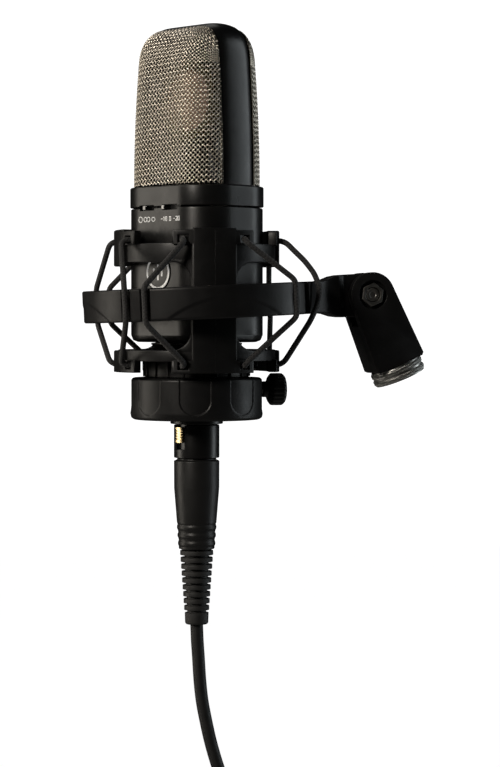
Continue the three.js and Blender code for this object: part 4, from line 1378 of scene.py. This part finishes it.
def base_cup():
    outline = rounded(
        [(13.6, -49.2), (26.4, -49.2), (27.6, -48.4), (28.0, -46.5), (28.0, -32.4), (27.2, -31.6),
         (13.6, -31.6)], 0.5, 4)
    line = divided(
        outline + outline[:1], lambda r0, z0, r1, z1: 48 if abs(z1 - z0) > 10 and r0 > 20 else 1
    )
    angles = np.arange(720) / 2
    grid = np.array([
        wheel(
            r - np.array([petal_depth(angle, z) if r > 26 else 0 for angle in angles]),
            np.radians(angles), z,
        )
        for r, z in line
    ])
    cup = lattice("cup", grid, close_rows=True)
    put(cup, "base_cup_petals", CAGE_PLASTIC, "base_cup", HUNG, "cage", angle=40)


cage_basket()
base_cup()

# ---------------------------------------------------------------- knobs


def fluted(name, outline, flutes, depth, span, steps=192, fine=0.5):
    """A turned knob whose rim between two heights is cut by rounded flutes."""
    line = rounded(outline, fine, 4, closed=False)
    full = divided(
        line, lambda r0, z0, r1, z1: 6 if math.hypot(r1 - r0, z1 - z0) > 1.2 else 1
    ) + line[-1:]
    widest = max(r for r, _ in full)
    turns = np.arange(steps) * math.tau / steps
    wave = np.abs(np.sin(turns * flutes / 2)) ** 0.7
    grid = np.zeros((len(full), steps, 3))
    for i, (r, z) in enumerate(full):
        inside = span[0] - 0.3 <= z <= span[1] + 0.3 and r > widest * 0.72
        share = (r / widest - 0.72) / 0.28 if inside else 0
        near = r - depth * min(1, share * 2) * (1 - wave)
        grid[i] = wheel(near, turns, z)
    return lattice(name, grid)


CLAMP_HEIGHT = -36.8


def clamp_knob():
    knob = fluted(
        "knob",
        [(2.5, 28.5), (3.4, 28.5), (3.4, 30.8), (5.2, 31.0), (6.9, 32.2), (6.9, 36.8), (6.0, 37.9),
         (4.2, 38.4), (0.02, 38.4)], 20, 0.42, (31.2, 37.6))
    moved(knob, Matrix.Rotation(math.radians(90), 4, "Y"))
    moved(knob, Matrix.Translation((0, 0, CLAMP_HEIGHT)))
    put(knob, "clamp_thumb_knob", KNOB_PLASTIC, "clamp_knob", HUNG, "clamp_knob", angle=45)


def tilt_knob():
    knob = fluted(
        "knob",
        [(3.2, 10.1), (6, 10.1), (7.4, 11.2), (9.0, 12.6), (9.0, 17.4), (7.4, 18.7), (0.02, 18.8)],
        18, 0.6, (11.5, 18.4))
    moved(knob, Matrix.Rotation(math.radians(-90), 4, "X"))
    put(knob, "tilt_clamp_knob", KNOB_PLASTIC, "tilt_knob", SWIVEL, "tilt_clamp", angle=45)


clamp_knob()
tilt_knob()

# ---------------------------------------------------------------- swivel

NUT_FACE = 9.75
KNURL_COUNT = 74
KNURL_RADIUS = 11.7


def clevis():
    outline = [(-10.2, -32.3), (10.2, -32.3), (11.2, -31.3)]
    outline += arc(0, 0, 9.6, 0, math.pi, 32) + [(-11.2, -31.3)]
    body = slab("clevis", outline, -NUT_FACE, NUT_FACE)
    lay_along_y(body)
    combine(body, block("slot", (-20, -5.0, -10.6), (20, 5.0, 30)))
    combine(body, lay_along_y(slab("bolt", disc(3.3, 40), -20, 20)))
    combine(body, lay_along_y(slab("recess", disc(6.2, 64), NUT_FACE - 2.6, 20)))
    combine(body, slab("bore", disc(8.6, 64), -40, -9))
    soften(body, 0.7, 3, 38)
    put(body, "swivel_clevis_fork", ARM_PLASTIC, "swivel_clevis", SWIVEL, "swivel")


def pivot_nut():
    corner = 4.5 / math.cos(math.pi / 6)
    nut = slab("nut", disc(corner, 6), NUT_FACE - 2.3, NUT_FACE - 0.2)
    combine(nut, slab("hole", disc(3.2, 40), 0, 20))
    soften(nut, 0.3, 2, 25)
    put(lay_along_y(nut), "pivot_hex_nut", DULL_STEEL, "pivot_nut", SWIVEL, "swivel")
    bolt = revolve(
        "bolt", [(0, -17), (2.9, -17), (2.9, 9.0), (2.5, 9.15), (1.5, 9.15), (1.3, 8.9), (0, 8.9)],
        48, 0.15, closed=False)
    put(lay_along_y(bolt), "tilt_clamp_bolt", DULL_STEEL, "tilt_bolt", SWIVEL, "tilt_clamp")


def knurl_depth(turns, z, low, high):
    """A crossed diamond knurl between two heights, 0 at its roots and 1 at its tips."""
    slope = KNURL_COUNT / KNURL_RADIUS * (z - low)
    one = np.abs((turns * KNURL_COUNT / math.tau + slope / 2) % 1 - 0.5) * 2
    two = np.abs((turns * KNURL_COUNT / math.tau - slope / 2) % 1 - 0.5) * 2
    fade = min(1.0, (z - low) / 0.35, (high - z) / 0.35)
    return np.minimum(one, two) * max(0.0, fade)


def thread_collar():
    """The knurled stand collar: two knurled bands, a groove, and the smooth sleeve above."""
    low, high = -38.6, -32.6
    middle = (low + high) / 2
    bands = ((low + 0.5, middle - 0.35), (middle + 0.35, high - 0.5))
    line = [(7.45, -22.4), (7.45, low + 0.7), (8.05, low), (11.0, low)]
    for start, end in bands:
        line.append((11.05, start))
        for k in range(1, 12):
            line.append((KNURL_RADIUS, start + (end - start) * k / 12))
        line.append((11.05, end))
    line += [(11.0, high), (8.25, high), (8.25, -24.3), (7.75, -24.3), (7.75, -23.1),
             (8.25, -23.1), (8.25, -22.4)]
    steps = KNURL_COUNT * 6
    turns = np.arange(steps) * math.tau / steps
    grid = np.zeros((len(line), steps, 3))
    for i, (r, z) in enumerate(line):
        near = np.full(steps, r)
        for start, end in bands:
            if r > 11.5 and start < z < end:
                near = near - 0.45 * (1 - knurl_depth(turns, z, start, end))
        grid[i] = wheel(near, turns, z)
    collar = lattice("collar", grid, close_rows=True)
    put(collar, "stand_thread_collar", GREY_STEEL, "thread_collar", SWIVEL, "stand_collar", angle=50)


clevis()
pivot_nut()
thread_collar()

# ---------------------------------------------------------------- ring and arm

RING_RADIUS, RING_WALL, RING_HALF = 49.5, 3.0, 6.75
RING_OFFSET = 1.5  # of its middle from the microphone's axis, toward the arm
ARM_REACH = 74.9
NOTCH_ASIDE = 5.5  # degrees
CONTACT_TURN = 45 - NOTCH_ASIDE  # from a pillar to its cords' notches
NOTCHES = [quarter + side * NOTCH_ASIDE for quarter in (45, 135, 225, 315) for side in (-1, 1)]


def notch(angle):
    """How deep the ring is notched at an angle, for the elastic cords."""
    deepest = 0.0
    for centre in NOTCHES:
        off = abs((angle - centre + 180) % 360 - 180) * math.radians(1) * RING_RADIUS
        depth = 1.5 * min(1.0, max(0.0, (2.3 - off) / 0.7))
        deepest = max(deepest, depth)
    return deepest


def arch_relief(angle, z):
    """A shallow step along an arch under each pillar's place."""
    off = (angle + 45) % 90 - 45
    line = 1.8 - 0.010 * off * off
    return 0.3 * eased((line - z) / 0.5 + 0.5)


def ring_band():
    steps = 1080
    inner = RING_RADIUS - RING_WALL
    outline = [(inner + 0.5, RING_HALF), (inner, RING_HALF - 0.5), (inner, -RING_HALF + 0.5),
               (inner + 0.5, -RING_HALF)]
    rise = [-RING_HALF, -RING_HALF + 0.15, -RING_HALF + 0.6]
    rise += list(np.linspace(-RING_HALF + 1.2, RING_HALF - 1.2, 22))
    rise += [RING_HALF - 0.6, RING_HALF - 0.15, RING_HALF]
    angles = 360 * np.arange(steps) / steps
    turns = np.radians(angles)
    cutting = np.array([notch(angle) for angle in angles])
    rows = [wheel(r, turns, z) for r, z in outline]
    for z in rise:
        edge = max(0.0, abs(z) - (RING_HALF - 0.6)) / 0.6
        relief = np.array([arch_relief(angle, z) for angle in angles])
        rows.append(wheel(RING_RADIUS - cutting - relief - 0.6 * edge * edge, turns, z))
    grid = np.array(rows)
    grid[..., 0] += RING_OFFSET
    return lattice("band", grid, close_rows=True)


def arm():
    """The arm: a block off the ring that narrows into the pivot's eye."""
    start = RING_OFFSET + RING_RADIUS - 2.2
    top = [(start, 6.7), (ARM_REACH - 22, 6.8), (ARM_REACH - 19, 7.4), (ARM_REACH - 16, 8.6),
           (ARM_REACH - 13, 9.1), (ARM_REACH - 6, 9.2)]
    side = [(x, -z) for x, z in top]
    side += arc(ARM_REACH, 0, 9.2, -math.pi / 2, math.pi, 24) + top[::-1]
    body = lay_along_y(slab("arm", side, -20, 20))
    plan = [(start - 2.0, -13.5), (start + 2, -10.6), (start + 6, -7.8), (start + 11, -6.2),
            (ARM_REACH - 13.5, -6.0), (ARM_REACH - 11.2, -3.6), (ARM_REACH + 12, -3.6)]
    plan += [(x, -y) for x, y in reversed(plan)]
    combine(body, slab("plan", plan, -15, 15), "INTERSECT")
    combine(body, lay_along_y(slab("hole", disc(3.3, 40, ARM_REACH, 0), -20, 20)))
    inside = slab("inside", disc(RING_RADIUS - RING_WALL + 0.3, 180, RING_OFFSET), -20, 20)
    combine(body, inside)
    return soften(body, 0.8, 3, 30)


def yoke():
    whole = gather("yoke", [ring_band(), arm()])
    put(whole, "yoke_ring_and_arm", ARM_PLASTIC, "yoke_ring", RING, "yoke", angle=40)


yoke()

# ---------------------------------------------------------------- elastic cords

ELASTIC_RADIUS = 1.2
HOOK_ASIDE = 13.0


def at_pillar(pillar, out, aside, height):
    return turn_z(math.radians(pillar)) @ Vector((out, aside, height))


def at_ring(angle, radius, height):
    turn = math.radians(angle)
    spot = Vector((RING_OFFSET + radius * math.cos(turn), radius * math.sin(turn), height))
    return Matrix.Rotation(RING_TILT, 3, "Y") @ spot


# The one slack cord's way from its upper hook to the ring's lower edge: out, aside, up.
SLACK_WAY = [
    (35.3, -13.6, 25.3), (38.0, -16.1, 21.9), (41.6, -20.3, 17.4), (44.5, -24.7, 12.2),
    (46.0, -27.5, 6.8), (45.9, -27.7, 2.4), (44.0, -29.8, -2.6), (40.6, -32.4, -8.0),
]


def elastic_points(pillar, side, slack):
    """The same route as the CAD cord: hook, over the ring's edge, down its notch, hook."""
    aside = side * HOOK_ASIDE
    contact = pillar + side * CONTACT_TURN
    touch = RING_RADIUS - 1.4 + ELASTIC_RADIUS + 0.2
    edge = RING_HALF + 0.7
    points = [at_pillar(pillar, 30.6, aside, 25.9), at_pillar(pillar, 32.8, aside, 25.9)]
    if slack:
        points += [at_pillar(pillar, *spot) for spot in SLACK_WAY]
    else:
        points.append(at_pillar(pillar, 34.9, aside, 24.6))
        points += [at_ring(contact, touch + 0.4, edge), at_ring(contact, touch, 0)]
        points.append(at_ring(contact, touch + 0.4, -edge))
    points += [
        at_pillar(pillar, 34.9, aside, -24.9),
        at_pillar(pillar, 32.8, aside, -26.2),
        at_pillar(pillar, 30.6, aside, -26.2),
    ]
    return points


def relaxed(points, count=180, passes=16):
    """The straight way through points, its corners eased as a cord's are."""
    way = np.array([tuple(p) for p in points])
    steps = reached(way)
    at = np.linspace(0, steps[-1], count)
    way = np.stack([np.interp(at, steps, way[:, k]) for k in range(3)], axis=1)
    for _ in range(passes):
        way[1:-1] = (way[:-2] + way[1:-1] + way[2:]) / 3
    return way


def elastics():
    pillars = {"arm": 0, "rear": 90, "outer": 180, "front": 270}
    for word, pillar in pillars.items():
        for name, side in (("left", -1), ("right", 1)):
            slack = word == "arm" and side < 0
            path = relaxed(elastic_points(pillar, side, slack))
            cord = swept("cord", path, ELASTIC_RADIUS, 14)
            moved(cord, HUNG)
            cord.name = f"elastic_cord_{word}_{name}"
            smooth(cord, 60)
            cord.data.materials.append(ELASTIC_BRAID)
            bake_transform(cord)
            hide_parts(f"elastic_{word}_{name}")


elastics()

# ---------------------------------------------------------------- stage and light


STRAY_LIGHT = 0.008  # what the pale floor and surroundings give to the piece


def stage():
    """A pale floor well below the lead, as bright to the camera as the pale surroundings."""
    low = CAD_LOW.z - 0.35
    half = 6.0
    corners = [(-half, -half, low), (half, -half, low), (half, half, low), (-half, half, low)]
    floor = raw("floor", corners, [(0, 1, 2, 3)])
    n = Nodes("floor_paper")
    n.color(n.ramp(n.noise(3, 2), [(0.3, (0.30, 0.30, 0.30)), (0.7, (0.33, 0.33, 0.33))]))
    seen = n.add("ShaderNodeLightPath").outputs["Is Camera Ray"]
    n.link(n.spread(seen, STRAY_LIGHT, 1.0), n.shader.inputs["Emission Strength"])
    n.fix(Roughness=0.9, Emission_Color=(1, 1, 1, 1))
    floor.data.materials.append(n.material)


def softbox(name, place, target, size, power, color):
    data = bpy.data.lights.new(name, "AREA")
    data.shape = "RECTANGLE"
    data.size, data.size_y = size
    data.energy = power
    data.color = color
    lamp = added(name, data)
    lamp.location = place
    aim = Vector(target) - Vector(place)
    lamp.rotation_mode = "QUATERNION"
    lamp.rotation_quaternion = aim.to_track_quat("-Z", "Y")


def around(azimuth, distance, height):
    """A point seen from the microphone: azimuth 0 is at the camera's side, 90 at its right."""
    turn = math.radians(azimuth) + CAMERA_TURN
    return (
        AXIS_X + distance * math.sin(turn),
        -distance * math.cos(turn),
        RING_Z + height,
    )


def lights():
    target = (AXIS_X, 0, RING_Z + 0.02)
    head = (AXIS_X, 0, RING_Z + 0.09)
    softbox("warm_left", around(-95, 0.8, 0.05), target, (0.3, 1.0), 2.9, (1.0, 0.93, 0.82))
    softbox("cool_right", around(99, 0.8, 0.05), target, (0.26, 1.0), 2.1, (0.9, 0.97, 1.0))
    softbox("front_left", around(-38, 1.1, 0.45), head, (0.25, 0.25), 7.5, (1.0, 0.93, 0.84))
    softbox("overhead", around(-150, 0.5, 0.9), target, (0.8, 0.5), 1.0, (1.0, 0.98, 0.95))
    world = bpy.data.worlds.new("studio")
    bpy.context.scene.world = world
    world.use_nodes = True
    tree = world.node_tree
    background = tree.nodes["Background"]
    background.inputs["Color"].default_value = (1, 1, 1, 1)
    path = tree.nodes.new("ShaderNodeLightPath")
    level = tree.nodes.new("ShaderNodeMapRange")
    level.inputs["To Min"].default_value = STRAY_LIGHT
    level.inputs["To Max"].default_value = 1.15
    tree.links.new(path.outputs["Is Camera Ray"], level.inputs["Value"])
    tree.links.new(level.outputs["Result"], background.inputs["Strength"])
    bpy.context.scene.view_settings.view_transform = "Standard"


stage()
lights()
